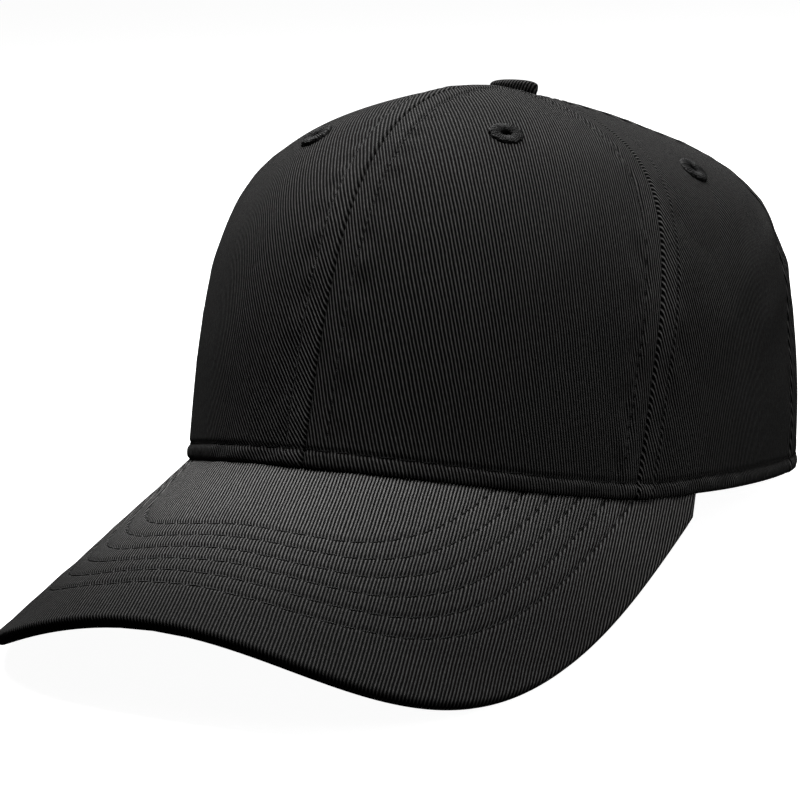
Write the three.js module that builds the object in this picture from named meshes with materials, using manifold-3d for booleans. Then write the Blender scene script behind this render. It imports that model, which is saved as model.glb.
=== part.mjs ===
// A six-panel structured baseball cap with a curved visor and a hook-and-loop closure at the back.
// Millimetres. The cap's own frame has +X to the wearer's left, -Y to the front and +Z up through the
// button, with z = 0 near the rim. The exported group tilts that frame so that the cap stands on a table.
import * as THREE from "three";
import { mergeVertices } from "three/addons/utils/BufferGeometryUtils.js";
import Module from "manifold-3d";

const wasm = await Module();
wasm.setup();

// ---------------------------------------------------------------- driving dimensions

const RAD = Math.PI / 180;
const GAP = 0.3; // clearance between neighbouring pieces

// Head opening: an oval, wider towards the back than at the front, measured from its widest place.
const FRONT_LENGTH = 109;
const BACK_LENGTH = 108;
const HALF_WIDTH = 79.4;
const EGG = 0.089;
const BACK_FULLNESS = 0.178;

// Crown: each meridian is a cubic Bezier curve from the rim to the apex. Its four shape numbers are given
// at the front, the side and the back, and blend around the crown.
const CROWN_HEIGHT = 107.1;
const APEX_Y = 7;
const CROWN_SHAPE = {
  bulge: [-0.098, 0.007, -0.053], // how far the wall leans out above the rim, as a share of the radius
  wallHandle: [51.3, 83.5, 49.6], // height over which the wall stays upright
  topHandle: [0.861, 0.961, 0.749], // how far out the top stays flat, as a share of the radius
  topDrop: [-1.5, 16.6, 12], // how far the top falls on its way out
};
const REST_TILT = 9.59 * RAD; // the front is raised by this much when the cap stands on a table
const REST_SHIFT = [0, 33, 15.21]; // puts the origin under the middle of the standing cap

// Seams between panels, as azimuths from the front, and how far each swings forward at the rim.
const SEAMS = {
  front: { azimuth: 0, swing: 0 },
  frontSide: { azimuth: 67 * RAD, swing: 7.2 * RAD },
  sideBack: { azimuth: 108.7 * RAD, swing: -2.4 * RAD },
  back: { azimuth: Math.PI, swing: 0 },
};

// Visor: a sheet that falls forward at a slope and curls down at both sides.
const VISOR_SLOPE = 22.9 * RAD;
const VISOR_RADIUS = 107.6; // of its curl, at a middling distance from its centre line
const VISOR_CURL_GROWTH = -0.227; // how much tighter it curls towards its side edges
const VISOR_CURL_REACH = 90;
const VISOR_LENGTH = 70.2;
const VISOR_HALF_WIDTH = 88.2;
const VISOR_SQUARENESS = 3.54;
const VISOR_CENTRE_BACK = 71.5;
const VISOR_HEIGHT = 7.6; // height of its root at the centre of the front
const VISOR_END = 73.5 * RAD; // azimuth where its edge meets the rim
const VISOR_END_MARGIN = 1 * RAD;
const CORNER_TAPER = 2.6; // how far its side edges are drawn in at its back corners, to end under the hem
const CORNER_TAPER_SPAN = [55, 71]; // over this distance behind the rim's foremost place
const VISOR_TUCK = 2.8; // how far it reaches in under the crown
const BACK_RIM_HEIGHT = 1.5;

// Layers, outside to inside.
const PANEL = [0, -1.0];
const BUCKRAM = [-1.3, -2.0];
const TAPE_OVER_BUCKRAM = [-2.3, -2.9];
const TAPE_OVER_PANEL = [-1.3, -1.9];
const FOAM = [-3.2, -4.6];
const SWEATBAND = [-4.9, -5.7];
const LABEL = [-6.0, -6.4];
const VISOR_TOP = [-0.3, -0.9];
const VISOR_BOARD = [-1.2, -2.8];
const VISOR_UNDER = [-3.1, -3.7];

const HEM_OVER_VISOR = 1.3; // the panels' lower edge stands this far above the visor
const HEM_OVER_RIM = 0.3; // and this far above the rim behind it
const HEM_STEP = [6 * RAD, 18 * RAD]; // it changes over between these azimuths behind the visor's end
const SWEATBAND_SPAN = [1.8, 33]; // lower and upper edge above the rim
const FOAM_SPAN = [3.5, 31];
const BAND_END = 2; // the bands stop this far from the rear cut-out
const LABEL_AZIMUTH = 130 * RAD;
const LABEL_WIDTH = 16 * RAD;
const LABEL_BOTTOM = 8;
const LABEL_HEIGHT = 15;
const BUCKRAM_INSET = 1.5;
const BOARD_INSET = 1.2;
const TAPE_WIDTH = 14;
const TAPE_NARROWING = 0.85; // towards the apex a tape is no wider than this share of its distance from it
const TAPE_BOTTOM = 3.5; // the tapes' lower end above the rim, clear of the visor's root
const TAPE_TOP_RADIUS = 12.5; // and their upper end's distance from the apex

// Rear cut-out and closure.
const ARCH_HALF_WIDTH = 38;
const ARCH_HEIGHT = 46;
const ARCH_SQUARENESS = 2.6;
const ARCH_BINDING_WIDTH = 7;
const ARCH_BINDING_EDGE = 0.6; // the binding starts this far outside the cut edge
const ARCH_TOOL_BELOW = 20; // how far the cutting prism reaches below and behind the rim
const ARCH_TOOL_BEHIND = 30;
const STRAP_ROOT_X = 34;
const OUTER_STRAP_TIP_X = -32;
const INNER_STRAP_TIP_X = 28;
const HOOK_TAPE_X = [22, -30];
const LOOP_TAPE_X = [26, -28];
const STRAP_BOTTOM = 2;
const STRAP_HEIGHT = 20;
const STRAP_MARGIN = 1.5; // of strap above and below its tape
const OUTER_STRAP = [1.1, -0.1];
const HOOK_TAPE = [-0.4, -1.3];
const LOOP_TAPE = [-1.6, -2.5];
const INNER_STRAP = [-2.8, -4.0];

// Eyelets and button.
const EYELET_RADIUS = 4.5;
const EYELET_CLEARANCE = 0.5;
const EYELET_HOLE_RADIUS = 1.4;
const EYELET_BARREL_RADIUS = 2.3;
const PANEL_HOLE_RADIUS = 2.8;
const EYELET_LIP = 1.4; // how high its ring of thread stands off the cloth
const EYELET_PLACES = {
  // azimuth in degrees and place along the meridian; the front ones are sewn a little unevenly
  front_left: [34, 0.65],
  front_right: [-30, 0.626],
  side_left: [83, 0.583],
  side_right: [-83, 0.583],
  back_left: [143, 0.585],
  back_right: [-143, 0.585],
};
const BUTTON_RADIUS = 7;
const BUTTON_HEIGHT = 3.1;
const BUTTON_CLOTH = 0.5;
const BUTTON_SIDE = 1.3; // height where its side starts to round over
const BUTTON_MOUTH = 4.2; // radius of the opening under the gathered cloth
const BUTTON_SOCKET = { radius: 1.8, top: 1.8 };
const BACK_PLATE_RADIUS = 9;
const BACK_PLATE = [-4.2, -5];
const RIVET = { radius: 1.4, top: 1.5 };
const APEX_HOLE_RADIUS = 3.2;

// ---------------------------------------------------------------- materials

const fabric = (color) => new THREE.MeshStandardMaterial({ color, roughness: 0.95, metalness: 0 });
const TWILL = fabric(0x1d1d1e);
const TWILL_UNDER = fabric(0x131314);
const BUCKRAM_CLOTH = fabric(0xd8d5cc);
const TAPE_CLOTH = fabric(0x18181a);
const BAND_CLOTH = fabric(0x161617);
const FOAM_STUFF = new THREE.MeshStandardMaterial({ color: 0xe4e1da, roughness: 0.9, metalness: 0 });
const THREAD = fabric(0x101011);
const HOOK_STUFF = new THREE.MeshStandardMaterial({ color: 0x0e0e0f, roughness: 0.6, metalness: 0 });
const LOOP_STUFF = fabric(0x151516);
const LABEL_CLOTH = fabric(0xe9e7e1);
const BOARD_PLASTIC = new THREE.MeshStandardMaterial({ color: 0x2a2a2b, roughness: 0.5, metalness: 0 });
const METAL = new THREE.MeshStandardMaterial({ color: 0xb9bbbd, roughness: 0.35, metalness: 0.9 });

// ---------------------------------------------------------------- visor surface

// Angle, sideways place and drop of the visor's cross-section at arc length u from its middle.
function visorSection(u) {
  const steps = 48;
  const reach = Math.abs(u);
  const ds = reach / steps;
  let angle = 0;
  let across = 0;
  let drop = 0;
  for (let i = 0; i < steps; i++) {
    const s = ((i + 0.5) * ds) / VISOR_CURL_REACH;
    const turn = (ds / VISOR_RADIUS) * (1 + VISOR_CURL_GROWTH * (2 * s * s - 1));
    across += ds * Math.cos(angle + turn / 2);
    drop += ds * Math.sin(angle + turn / 2);
    angle += turn;
  }
  const side = Math.sign(u) || 1;
  return { angle: angle * side, across: across * side, drop };
}

// Point of the visor at arc length u across and w forward of the rim, lifted off its top surface.
function visorPoint(u, w, lift) {
  const { angle, across, drop } = visorSection(u);
  const level = lift * Math.cos(angle) - drop;
  return new THREE.Vector3(
    across + lift * Math.sin(angle),
    -FRONT_LENGTH - w * Math.cos(VISOR_SLOPE) - level * Math.sin(VISOR_SLOPE),
    VISOR_HEIGHT - w * Math.sin(VISOR_SLOPE) + level * Math.cos(VISOR_SLOPE),
  );
}

// Value of x in [low, high] where the rising function f reaches the target.
function solve(f, target, low, high) {
  for (let i = 0; i < 40; i++) {
    const middle = (low + high) / 2;
    if (f(middle) < target) low = middle;
    else high = middle;
  }
  return (low + high) / 2;
}

// Half-width of the oval that a rim point's azimuth belongs to.
function rimWidth(azimuth) {
  const cosine = Math.cos(azimuth);
  return HALF_WIDTH * (1 - EGG * cosine + BACK_FULLNESS * Math.min(cosine, 0) ** 2);
}

const rimX = (azimuth) => rimWidth(azimuth) * Math.sin(azimuth);
const rimY = (azimuth) => -Math.cos(azimuth) * (Math.cos(azimuth) > 0 ? FRONT_LENGTH : BACK_LENGTH);

// Flat place (u, w) on the visor under a rim point, moved inwards by inset.
function visorUnderRim(azimuth, inset) {
  const shrink = 1 - inset / FRONT_LENGTH;
  const x = rimX(azimuth) * shrink;
  const u = solve((v) => visorSection(v).across, x, -120, 120);
  const y = rimY(azimuth) * shrink;
  const w = (visorSection(u).drop * Math.sin(VISOR_SLOPE) - FRONT_LENGTH - y) / Math.cos(VISOR_SLOPE);
  return [u, w];
}

// Flat outline of the visor: a superellipse around a centre behind the rim.
function visorOutline(angle, inset) {
  const power = 2 / VISOR_SQUARENESS;
  const across = Math.sign(Math.sin(angle)) * Math.abs(Math.sin(angle)) ** power;
  const ahead = Math.abs(Math.cos(angle)) ** power;
  const u = (VISOR_HALF_WIDTH - inset) * across;
  const w = -VISOR_CENTRE_BACK + (VISOR_LENGTH + VISOR_CENTRE_BACK - inset) * ahead;
  return [u, w];
}

// How far the visor's side edge is drawn in at a place w forward of the rim.
function cornerTaper(w) {
  const [start, end] = CORNER_TAPER_SPAN;
  return CORNER_TAPER * THREE.MathUtils.clamp((-w - start) / (end - start), 0, 1) ** 2;
}

// ---------------------------------------------------------------- crown surface

// Azimuth folded into 0..180 degrees.
const folded = (azimuth) => Math.abs(Math.atan2(Math.sin(azimuth), Math.cos(azimuth)));

// Height of the rim: it follows the visor at the front and runs level to the back.
function rimHeight(azimuth) {
  const t = folded(azimuth);
  const onVisor = (a) => visorPoint(...visorUnderRim(a, 0), 0).z;
  if (t <= VISOR_END) return onVisor(t);
  const corner = onVisor(VISOR_END);
  return corner + ((BACK_RIM_HEIGHT - corner) * (t - VISOR_END)) / (Math.PI - VISOR_END);
}

// Blends a [front, side, back] triple around the crown.
function around([front, side, back], azimuth) {
  const cosine = Math.cos(azimuth);
  return side + ((cosine > 0 ? front : back) - side) * cosine ** 2;
}

// One meridian of the crown as a curve in (share of radius, height).
const meridians = new Map();
function meridian(azimuth) {
  const key = azimuth.toFixed(6);
  if (!meridians.has(key)) {
    const rim = rimHeight(azimuth);
    const wall = 1 + around(CROWN_SHAPE.bulge, azimuth);
    const top = around(CROWN_SHAPE.topHandle, azimuth);
    meridians.set(
      key,
      new THREE.CubicBezierCurve(
        new THREE.Vector2(1, rim),
        new THREE.Vector2(wall, rim + around(CROWN_SHAPE.wallHandle, azimuth)),
        new THREE.Vector2(top, CROWN_HEIGHT - top * around(CROWN_SHAPE.topDrop, azimuth)),
        new THREE.Vector2(0, CROWN_HEIGHT),
      ),
    );
  }
  return meridians.get(key);
}

function crownSurface(azimuth, along) {
  const { x: share, y: height } = meridian(azimuth).getPoint(along);
  return new THREE.Vector3(share * rimX(azimuth), APEX_Y * (1 - share) + share * rimY(azimuth), height);
}

function crownNormal(azimuth, along) {
  const step = 1e-3;
  const sideways = crownSurface(azimuth + step, along).sub(crownSurface(azimuth - step, along));
  const upwards = crownSurface(azimuth, along + step).sub(crownSurface(azimuth, along - step));
  return sideways.cross(upwards).normalize();
}

// Point of the crown lifted off its outer surface; a negative lift goes inwards.
function crownPoint(azimuth, along, lift) {
  return crownSurface(azimuth, along).addScaledVector(crownNormal(azimuth, along), lift);
}

// Place along a meridian at a height above the rim, and at a radius from the apex.
const alongAtHeight = (azimuth, height) =>
  solve((s) => meridian(azimuth).getPoint(s).y - rimHeight(azimuth), height, 0, 0.9);
const alongAtRadius = (azimuth, radius) => {
  const rimRadius = Math.hypot(rimX(azimuth), rimY(azimuth));
  return solve((s) => -meridian(azimuth).getPoint(s).x * rimRadius, -radius, 0.3, 1);
};

// Azimuth and place along the meridian of a point at the back, from its x and its height above the rim.
function backPlace(x, height) {
  let azimuth = Math.PI;
  let along = 0;
  for (let i = 0; i < 12; i++) {
    along = alongAtHeight(azimuth, height);
    const share = meridian(azimuth).getPoint(along).x;
    azimuth = Math.PI - Math.asin(x / (share * rimWidth(azimuth)));
  }
  return [azimuth, along];
}

// A seam's azimuth at a place along it.
const seamAzimuth = (seam, along) => seam.azimuth - seam.swing * (1 - along) ** 3;

// How far the panels' lower edge stands above the rim.
function hemClearance(azimuth) {
  const past = THREE.MathUtils.smoothstep(folded(azimuth) - VISOR_END, ...HEM_STEP);
  return THREE.MathUtils.lerp(HEM_OVER_VISOR, HEM_OVER_RIM, past);
}

// ---------------------------------------------------------------- solids

// Closed solid between two liftings of a surface(u, v, lift), with u and v from 0 to 1.
function sheet(surface, [outer, inner], columns, rows) {
  const position = [];
  const index = [];
  const stride = columns + 1;
  const faceSize = stride * (rows + 1);
  for (const lift of [outer, inner]) {
    for (let j = 0; j <= rows; j++) {
      for (let i = 0; i <= columns; i++) {
        position.push(...surface(i / columns, j / rows, lift).toArray());
      }
    }
  }
  const quad = (a, b, c, d) => index.push(a, b, c, a, c, d);
  for (let j = 0; j < rows; j++) {
    for (let i = 0; i < columns; i++) {
      const k = j * stride + i;
      quad(k, k + 1, k + stride + 1, k + stride);
      quad(faceSize + k, faceSize + k + stride, faceSize + k + stride + 1, faceSize + k + 1);
    }
  }
  const edge = [];
  for (let i = 0; i < columns; i++) edge.push(i);
  for (let j = 0; j < rows; j++) edge.push(j * stride + columns);
  for (let i = columns; i > 0; i--) edge.push(rows * stride + i);
  for (let j = rows; j > 0; j--) edge.push(j * stride);
  edge.forEach((k, n) => {
    const next = edge[(n + 1) % edge.length];
    quad(k, faceSize + k, faceSize + next, next);
  });
  const geometry = new THREE.BufferGeometry();
  geometry.setAttribute("position", new THREE.Float32BufferAttribute(position, 3));
  geometry.setIndex(index);
  return facingOut(geometry);
}

// The same solid with its faces turned round if they point inwards.
function facingOut(geometry) {
  const { array } = geometry.attributes.position;
  const corner = (k) => new THREE.Vector3().fromArray(array, 3 * k);
  const { array: index } = geometry.index;
  let volume = 0;
  for (let i = 0; i < index.length; i += 3) {
    volume += corner(index[i]).dot(corner(index[i + 1]).cross(corner(index[i + 2])));
  }
  if (volume < 0) {
    for (let i = 0; i < index.length; i += 3) [index[i], index[i + 1]] = [index[i + 1], index[i]];
  }
  return geometry;
}

function toManifold(geometry) {
  const bare = geometry.clone();
  bare.deleteAttribute("normal");
  bare.deleteAttribute("uv");
  const merged = mergeVertices(bare, 1e-4);
  return new wasm.Manifold(
    new wasm.Mesh({
      numProp: 3,
      vertProperties: merged.attributes.position.array,
      triVerts: new Uint32Array(merged.index.array),
    }),
  );
}

// The geometry with each tool cut away.
function cut(geometry, tools) {
  let solid = toManifold(geometry);
  for (const tool of tools) solid = solid.subtract(toManifold(tool));
  const { vertProperties, triVerts } = solid.getMesh();
  const result = new THREE.BufferGeometry();
  result.setAttribute("position", new THREE.Float32BufferAttribute(vertProperties, 3));
  result.setIndex(new THREE.BufferAttribute(triVerts, 1));
  return result;
}

const cap = new THREE.Group();
cap.rotation.x = -REST_TILT;
cap.position.set(...REST_SHIFT);

function add(name, geometry, material) {
  geometry.computeVertexNormals();
  const mesh = new THREE.Mesh(geometry, material);
  mesh.name = name;
  cap.add(mesh);
  return mesh;
}

// ---------------------------------------------------------------- eyelets

const UP = new THREE.Vector3(0, 1, 0);

// Where each eyelet sits: a point on the crown and the direction straight out of it.
const eyelets = Object.entries(EYELET_PLACES).map(([panel, [degrees, along]]) => ({
  panel,
  stiff: panel.startsWith("front"),
  point: crownSurface(degrees * RAD, along),
  normal: crownNormal(degrees * RAD, along),
}));

// Cylinder that punches an eyelet's hole through the cloth.
function punch({ point, normal }) {
  const tool = new THREE.CylinderGeometry(PANEL_HOLE_RADIUS, PANEL_HOLE_RADIUS, 12, 12);
  tool.applyQuaternion(new THREE.Quaternion().setFromUnitVectors(UP, normal));
  return tool.translate(point.x, point.y, point.z);
}

// An embroidered ring that passes through the hole and grips both faces of the cloth.
function makeEyelet({ panel, stiff, point, normal }) {
  const bottom = stiff ? BUCKRAM[1] : PANEL[1];
  const inside = bottom - EYELET_CLEARANCE;
  const profile = [
    [EYELET_HOLE_RADIUS, inside - 0.4 * EYELET_LIP],
    [0.8 * EYELET_RADIUS, inside - 0.4 * EYELET_LIP],
    [0.8 * EYELET_RADIUS, inside],
    [EYELET_BARREL_RADIUS, inside],
    [EYELET_BARREL_RADIUS, EYELET_CLEARANCE],
    [EYELET_RADIUS, EYELET_CLEARANCE],
    [0.88 * EYELET_RADIUS, 0.8 * EYELET_LIP],
    [(EYELET_RADIUS + EYELET_HOLE_RADIUS) / 2, EYELET_LIP],
    [EYELET_HOLE_RADIUS, 0.65 * EYELET_LIP],
  ];
  const ring = add(`eyelet_${panel}`, lathe([...profile, profile[0]], 14), THREAD);
  ring.position.copy(point);
  ring.quaternion.setFromUnitVectors(UP, normal);
}

// ---------------------------------------------------------------- crown

// Point of the rear cut-out's outline, as x and height above the rim, at an angle from 0 (left foot) to pi.
function archPoint(angle, grow) {
  const power = 2 / ARCH_SQUARENESS;
  const across = Math.sign(Math.cos(angle)) * Math.abs(Math.cos(angle)) ** power;
  return [(ARCH_HALF_WIDTH + grow) * across, (ARCH_HEIGHT + grow) * Math.max(Math.sin(angle), 0) ** power];
}

// The rear cut-out as a prism along Y that runs out below the rim.
function archTool() {
  const steps = 24;
  const places = Array.from({ length: steps + 1 }, (_, i) => archPoint((i / steps) * Math.PI, 0));
  places.push([-ARCH_HALF_WIDTH, -ARCH_TOOL_BELOW], [ARCH_HALF_WIDTH, -ARCH_TOOL_BELOW]);
  const outline = new THREE.Shape(places.map(([x, height]) => new THREE.Vector2(x, height)));
  const prism = new THREE.ExtrudeGeometry(outline, { depth: BACK_LENGTH, bevelEnabled: false });
  prism.rotateX(Math.PI / 2); // the outline's up is now +Z and its depth runs to -Y
  return prism.translate(0, BACK_LENGTH + ARCH_TOOL_BEHIND, BACK_RIM_HEIGHT);
}

// A gore of the crown between two seams, with half a gap along each seam and an inset all round.
function gore(startSeam, endSeam, side, layer, inset) {
  const surface = (u, v, lift) => {
    const middle = startSeam.azimuth + (endSeam.azimuth - startSeam.azimuth) * u;
    const low = alongAtHeight(middle, hemClearance(middle) + inset);
    const high = alongAtRadius(middle, APEX_HOLE_RADIUS + inset);
    const along = low + (high - low) * v;
    const start = seamAzimuth(startSeam, along);
    const width = seamAzimuth(endSeam, along) - start;
    const here = crownSurface(start + width * u, along);
    const radius = Math.hypot(here.x, here.y - APEX_Y);
    const margin = Math.min((GAP / 2 + inset) / radius, width / 3);
    return crownPoint(side * (start + margin + (width - 2 * margin) * u), along, lift);
  };
  return sheet(surface, layer, 10, 16);
}

function makeCrown() {
  const gores = [
    ["front", SEAMS.front, SEAMS.frontSide],
    ["side", SEAMS.frontSide, SEAMS.sideBack],
    ["back", SEAMS.sideBack, SEAMS.back],
  ];
  for (const [name, start, end] of gores) {
    for (const [sideName, side] of [["left", 1], ["right", -1]]) {
      const panel = `${name}_${sideName}`;
      const tools = eyelets.filter((eyelet) => eyelet.panel === panel).map(punch);
      if (name === "back") tools.push(archTool());
      add(`panel_${panel}`, cut(gore(start, end, side, PANEL, 0), tools), TWILL);
      if (name === "front") {
        const stiffener = gore(start, end, side, BUCKRAM, BUCKRAM_INSET);
        add(`buckram_${panel}`, cut(stiffener, tools), BUCKRAM_CLOTH);
      }
    }
  }
}

// Cloth tape sewn over a seam inside the crown, from the rim or a height above it up to the back plate.
function seamTape(name, seam, side, layer, bottom) {
  const azimuthAt = (along) => side * seamAzimuth(seam, along);
  const low = alongAtHeight(azimuthAt(0), bottom);
  const high = alongAtRadius(azimuthAt(1), TAPE_TOP_RADIUS);
  const surface = (u, v, lift) => {
    const along = low + (high - low) * v;
    const azimuth = azimuthAt(along);
    const here = crownSurface(azimuth, along);
    const radius = Math.hypot(here.x, here.y - APEX_Y);
    const width = Math.min(TAPE_WIDTH, radius * TAPE_NARROWING);
    return crownPoint(azimuth + ((u - 0.5) * width) / radius, along, lift);
  };
  add(name, sheet(surface, layer, 3, 18), TAPE_CLOTH);
}

function makeSeamTapes() {
  seamTape("seam_tape_front", SEAMS.front, 1, TAPE_OVER_BUCKRAM, TAPE_BOTTOM);
  seamTape("seam_tape_back", SEAMS.back, 1, TAPE_OVER_PANEL, ARCH_HEIGHT + ARCH_BINDING_WIDTH + 2);
  for (const [sideName, side] of [["left", 1], ["right", -1]]) {
    seamTape(`seam_tape_front_side_${sideName}`, SEAMS.frontSide, side, TAPE_OVER_BUCKRAM, TAPE_BOTTOM);
    seamTape(`seam_tape_side_back_${sideName}`, SEAMS.sideBack, side, TAPE_OVER_PANEL, TAPE_BOTTOM);
  }
}

// A band around the inside of the rim that stops at both corners of the rear cut-out.
function rimBand(name, layer, [bottom, top], material) {
  const [end] = backPlace(ARCH_HALF_WIDTH + BAND_END, bottom);
  const surface = (u, v, lift) => {
    const azimuth = (2 * u - 1) * end;
    return crownPoint(azimuth, alongAtHeight(azimuth, bottom + (top - bottom) * v), lift);
  };
  add(name, sheet(surface, layer, 56, 3), material);
}

function makeSweatband() {
  rimBand("sweatband_foam", FOAM, FOAM_SPAN, FOAM_STUFF);
  rimBand("sweatband", SWEATBAND, SWEATBAND_SPAN, BAND_CLOTH);
  const label = (u, v, lift) => {
    const azimuth = LABEL_AZIMUTH + (u - 0.5) * LABEL_WIDTH;
    return crownPoint(azimuth, alongAtHeight(azimuth, LABEL_BOTTOM + LABEL_HEIGHT * v), lift);
  };
  add("care_label", sheet(label, LABEL, 3, 2), LABEL_CLOTH);
}

// ---------------------------------------------------------------- visor

// One layer of the visor, from under the rim to its outline or a little inside it.
function visorLayer(name, layer, inset, material) {
  const span = VISOR_END + VISOR_END_MARGIN;
  const [, cornerW] = visorUnderRim(span, VISOR_TUCK);
  const reach = solve((angle) => -visorOutline(angle, inset)[1], -cornerW, 0, Math.PI / 2);
  const surface = (u, v, lift) => {
    const side = 2 * u - 1;
    const [u0, w0] = visorUnderRim(side * span, VISOR_TUCK);
    const [edge, w1] = visorOutline(side * reach, inset);
    const u1 = edge - Math.sign(edge) * cornerTaper(w1);
    return visorPoint(u0 + (u1 - u0) * v, w0 + (w1 - w0) * v, lift);
  };
  add(name, sheet(surface, layer, 32, 4), material);
}

function makeVisor() {
  visorLayer("visor_top_cover", VISOR_TOP, 0, TWILL);
  visorLayer("visor_board", VISOR_BOARD, BOARD_INSET, BOARD_PLASTIC);
  visorLayer("visor_under_cover", VISOR_UNDER, 0, TWILL_UNDER);
}

// ---------------------------------------------------------------- button

const lathe = (points, segments) =>
  facingOut(
    new THREE.LatheGeometry(
      points.map(([r, y]) => new THREE.Vector2(r, y)),
      segments,
    ),
  );

// A part turned about the crown's axis, with its profile's heights measured from the apex.
function addTurned(name, points, segments, material) {
  const mesh = add(name, lathe(points, segments), material);
  mesh.rotation.x = Math.PI / 2;
  mesh.position.set(0, APEX_Y, CROWN_HEIGHT);
}

function makeButton() {
  const domeRadius = BUTTON_RADIUS - BUTTON_CLOTH - GAP;
  const domeHeight = BUTTON_HEIGHT - BUTTON_CLOTH - GAP;
  const base = GAP + BUTTON_CLOTH + GAP;
  const arc = (radius, low, high, steps) =>
    Array.from({ length: steps + 1 }, (_, i) => {
      const t = (i / steps) * (Math.PI / 2);
      return [radius * Math.cos(t) ** 0.6, low + (high - low) * Math.sin(t) ** 0.8];
    });
  const outside = arc(BUTTON_RADIUS, BUTTON_SIDE, BUTTON_HEIGHT, 6);
  const inside = arc(domeRadius + GAP, BUTTON_SIDE, domeHeight + GAP, 6).reverse();
  outside[outside.length - 1][0] = 0;
  inside[0][0] = 0;
  const lip = [
    [domeRadius + GAP, base - GAP],
    [BUTTON_MOUTH, base - GAP],
    [BUTTON_MOUTH, GAP],
    [BUTTON_RADIUS - GAP, GAP],
  ];
  addTurned("button_cover", [...inside, ...lip, ...outside].reverse(), 24, TWILL);
  const dome = arc(domeRadius, BUTTON_SIDE, domeHeight, 6);
  dome[dome.length - 1][0] = 0;
  const socket = [
    [0, BUTTON_SOCKET.top],
    [BUTTON_SOCKET.radius, BUTTON_SOCKET.top],
    [BUTTON_SOCKET.radius, base],
    [domeRadius, base],
  ];
  addTurned("button_dome", [...socket, ...dome], 24, METAL);
  const plate = [
    [0, BACK_PLATE[1]],
    [BACK_PLATE_RADIUS, BACK_PLATE[1]],
    [BACK_PLATE_RADIUS, BACK_PLATE[0]],
    [RIVET.radius, BACK_PLATE[0]],
    [RIVET.radius, RIVET.top],
    [0, RIVET.top],
  ];
  addTurned("button_back_plate", plate, 24, METAL);
}

// ---------------------------------------------------------------- closure

// Tape folded over the edge of the rear cut-out, modelled as its inner leg.
function makeArchBinding() {
  const surface = (u, v, lift) => {
    const angle = Math.PI * u;
    const grow = ARCH_BINDING_EDGE + ARCH_BINDING_WIDTH * v;
    const [x, height] = archPoint(angle, grow);
    const [azimuth, along] = backPlace(x, Math.max(height, HEM_OVER_RIM));
    return crownPoint(azimuth, along, lift);
  };
  add("arch_binding", sheet(surface, TAPE_OVER_PANEL, 24, 2), TAPE_CLOTH);
}

// A flat strip across the cut-out, between two places in x, with a margin above and below.
function strip(name, layer, [fromX, toX], margin, material) {
  const [start] = backPlace(fromX, STRAP_BOTTOM);
  const [end] = backPlace(toX, STRAP_BOTTOM);
  const surface = (u, v, lift) => {
    const azimuth = start + (end - start) * u;
    const height = THREE.MathUtils.lerp(margin, STRAP_HEIGHT - margin, v);
    return crownPoint(azimuth, alongAtHeight(azimuth, STRAP_BOTTOM + height), lift);
  };
  add(name, sheet(surface, layer, 12, 3), material);
}

function makeClosure() {
  strip("outer_strap", OUTER_STRAP, [STRAP_ROOT_X, OUTER_STRAP_TIP_X], 0, TWILL);
  strip("hook_tape", HOOK_TAPE, HOOK_TAPE_X, STRAP_MARGIN, HOOK_STUFF);
  strip("loop_tape", LOOP_TAPE, LOOP_TAPE_X, STRAP_MARGIN, LOOP_STUFF);
  strip("inner_strap", INNER_STRAP, [INNER_STRAP_TIP_X, -STRAP_ROOT_X], 0, TWILL);
}

makeCrown();
makeSeamTapes();
makeSweatband();
eyelets.forEach(makeEyelet);
makeButton();
makeVisor();
makeArchBinding();
makeClosure();

export default cap;
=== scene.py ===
"""The looks of a six-panel baseball cap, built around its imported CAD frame.

Shapes are worked out in millimetres in the cap's own frame (+X to the wearer's left, -Y to the front, +Z up
through the button), with the same formulas as the CAD, and are then turned into the standing cap's frame.
"""

import math

import bpy
import numpy as np
from mathutils import Matrix, Vector


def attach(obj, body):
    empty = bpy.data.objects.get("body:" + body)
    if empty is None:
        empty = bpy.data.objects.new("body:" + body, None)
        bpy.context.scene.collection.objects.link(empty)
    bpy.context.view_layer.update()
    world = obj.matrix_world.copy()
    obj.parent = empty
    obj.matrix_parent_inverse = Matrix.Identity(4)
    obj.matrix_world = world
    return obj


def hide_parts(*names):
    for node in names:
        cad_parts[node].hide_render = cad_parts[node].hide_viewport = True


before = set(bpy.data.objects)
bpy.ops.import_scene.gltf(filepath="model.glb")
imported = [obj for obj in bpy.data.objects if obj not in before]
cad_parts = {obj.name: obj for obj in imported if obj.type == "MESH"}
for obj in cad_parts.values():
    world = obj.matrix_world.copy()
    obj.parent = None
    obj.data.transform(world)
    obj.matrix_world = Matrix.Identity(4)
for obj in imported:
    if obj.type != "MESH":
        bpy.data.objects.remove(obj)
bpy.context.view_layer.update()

# ---------------------------------------------------------------- driving dimensions, as in the CAD

RAD = math.pi / 180
FRONT_LENGTH = 109
BACK_LENGTH = 108
HALF_WIDTH = 79.4
EGG = 0.089
BACK_FULLNESS = 0.178

CROWN_HEIGHT = 107.1
APEX_Y = 7
# Shape of the crown's meridians at the front, the side and the back.
BULGE = (-0.098, 0.007, -0.053)
WALL_HANDLE = (51.3, 83.5, 49.6)
TOP_HANDLE = (0.861, 0.961, 0.749)
TOP_DROP = (-1.5, 16.6, 12)
REST_TILT = 9.59 * RAD
REST_SHIFT = (0, 33, 15.21)

# Each seam's azimuth from the front, and how far it swings forward at the rim.
SEAMS = {
    "front": (0, 0),
    "front_side": (67 * RAD, 7.2 * RAD),
    "side_back": (108.7 * RAD, -2.4 * RAD),
    "back": (math.pi, 0),
}

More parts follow.
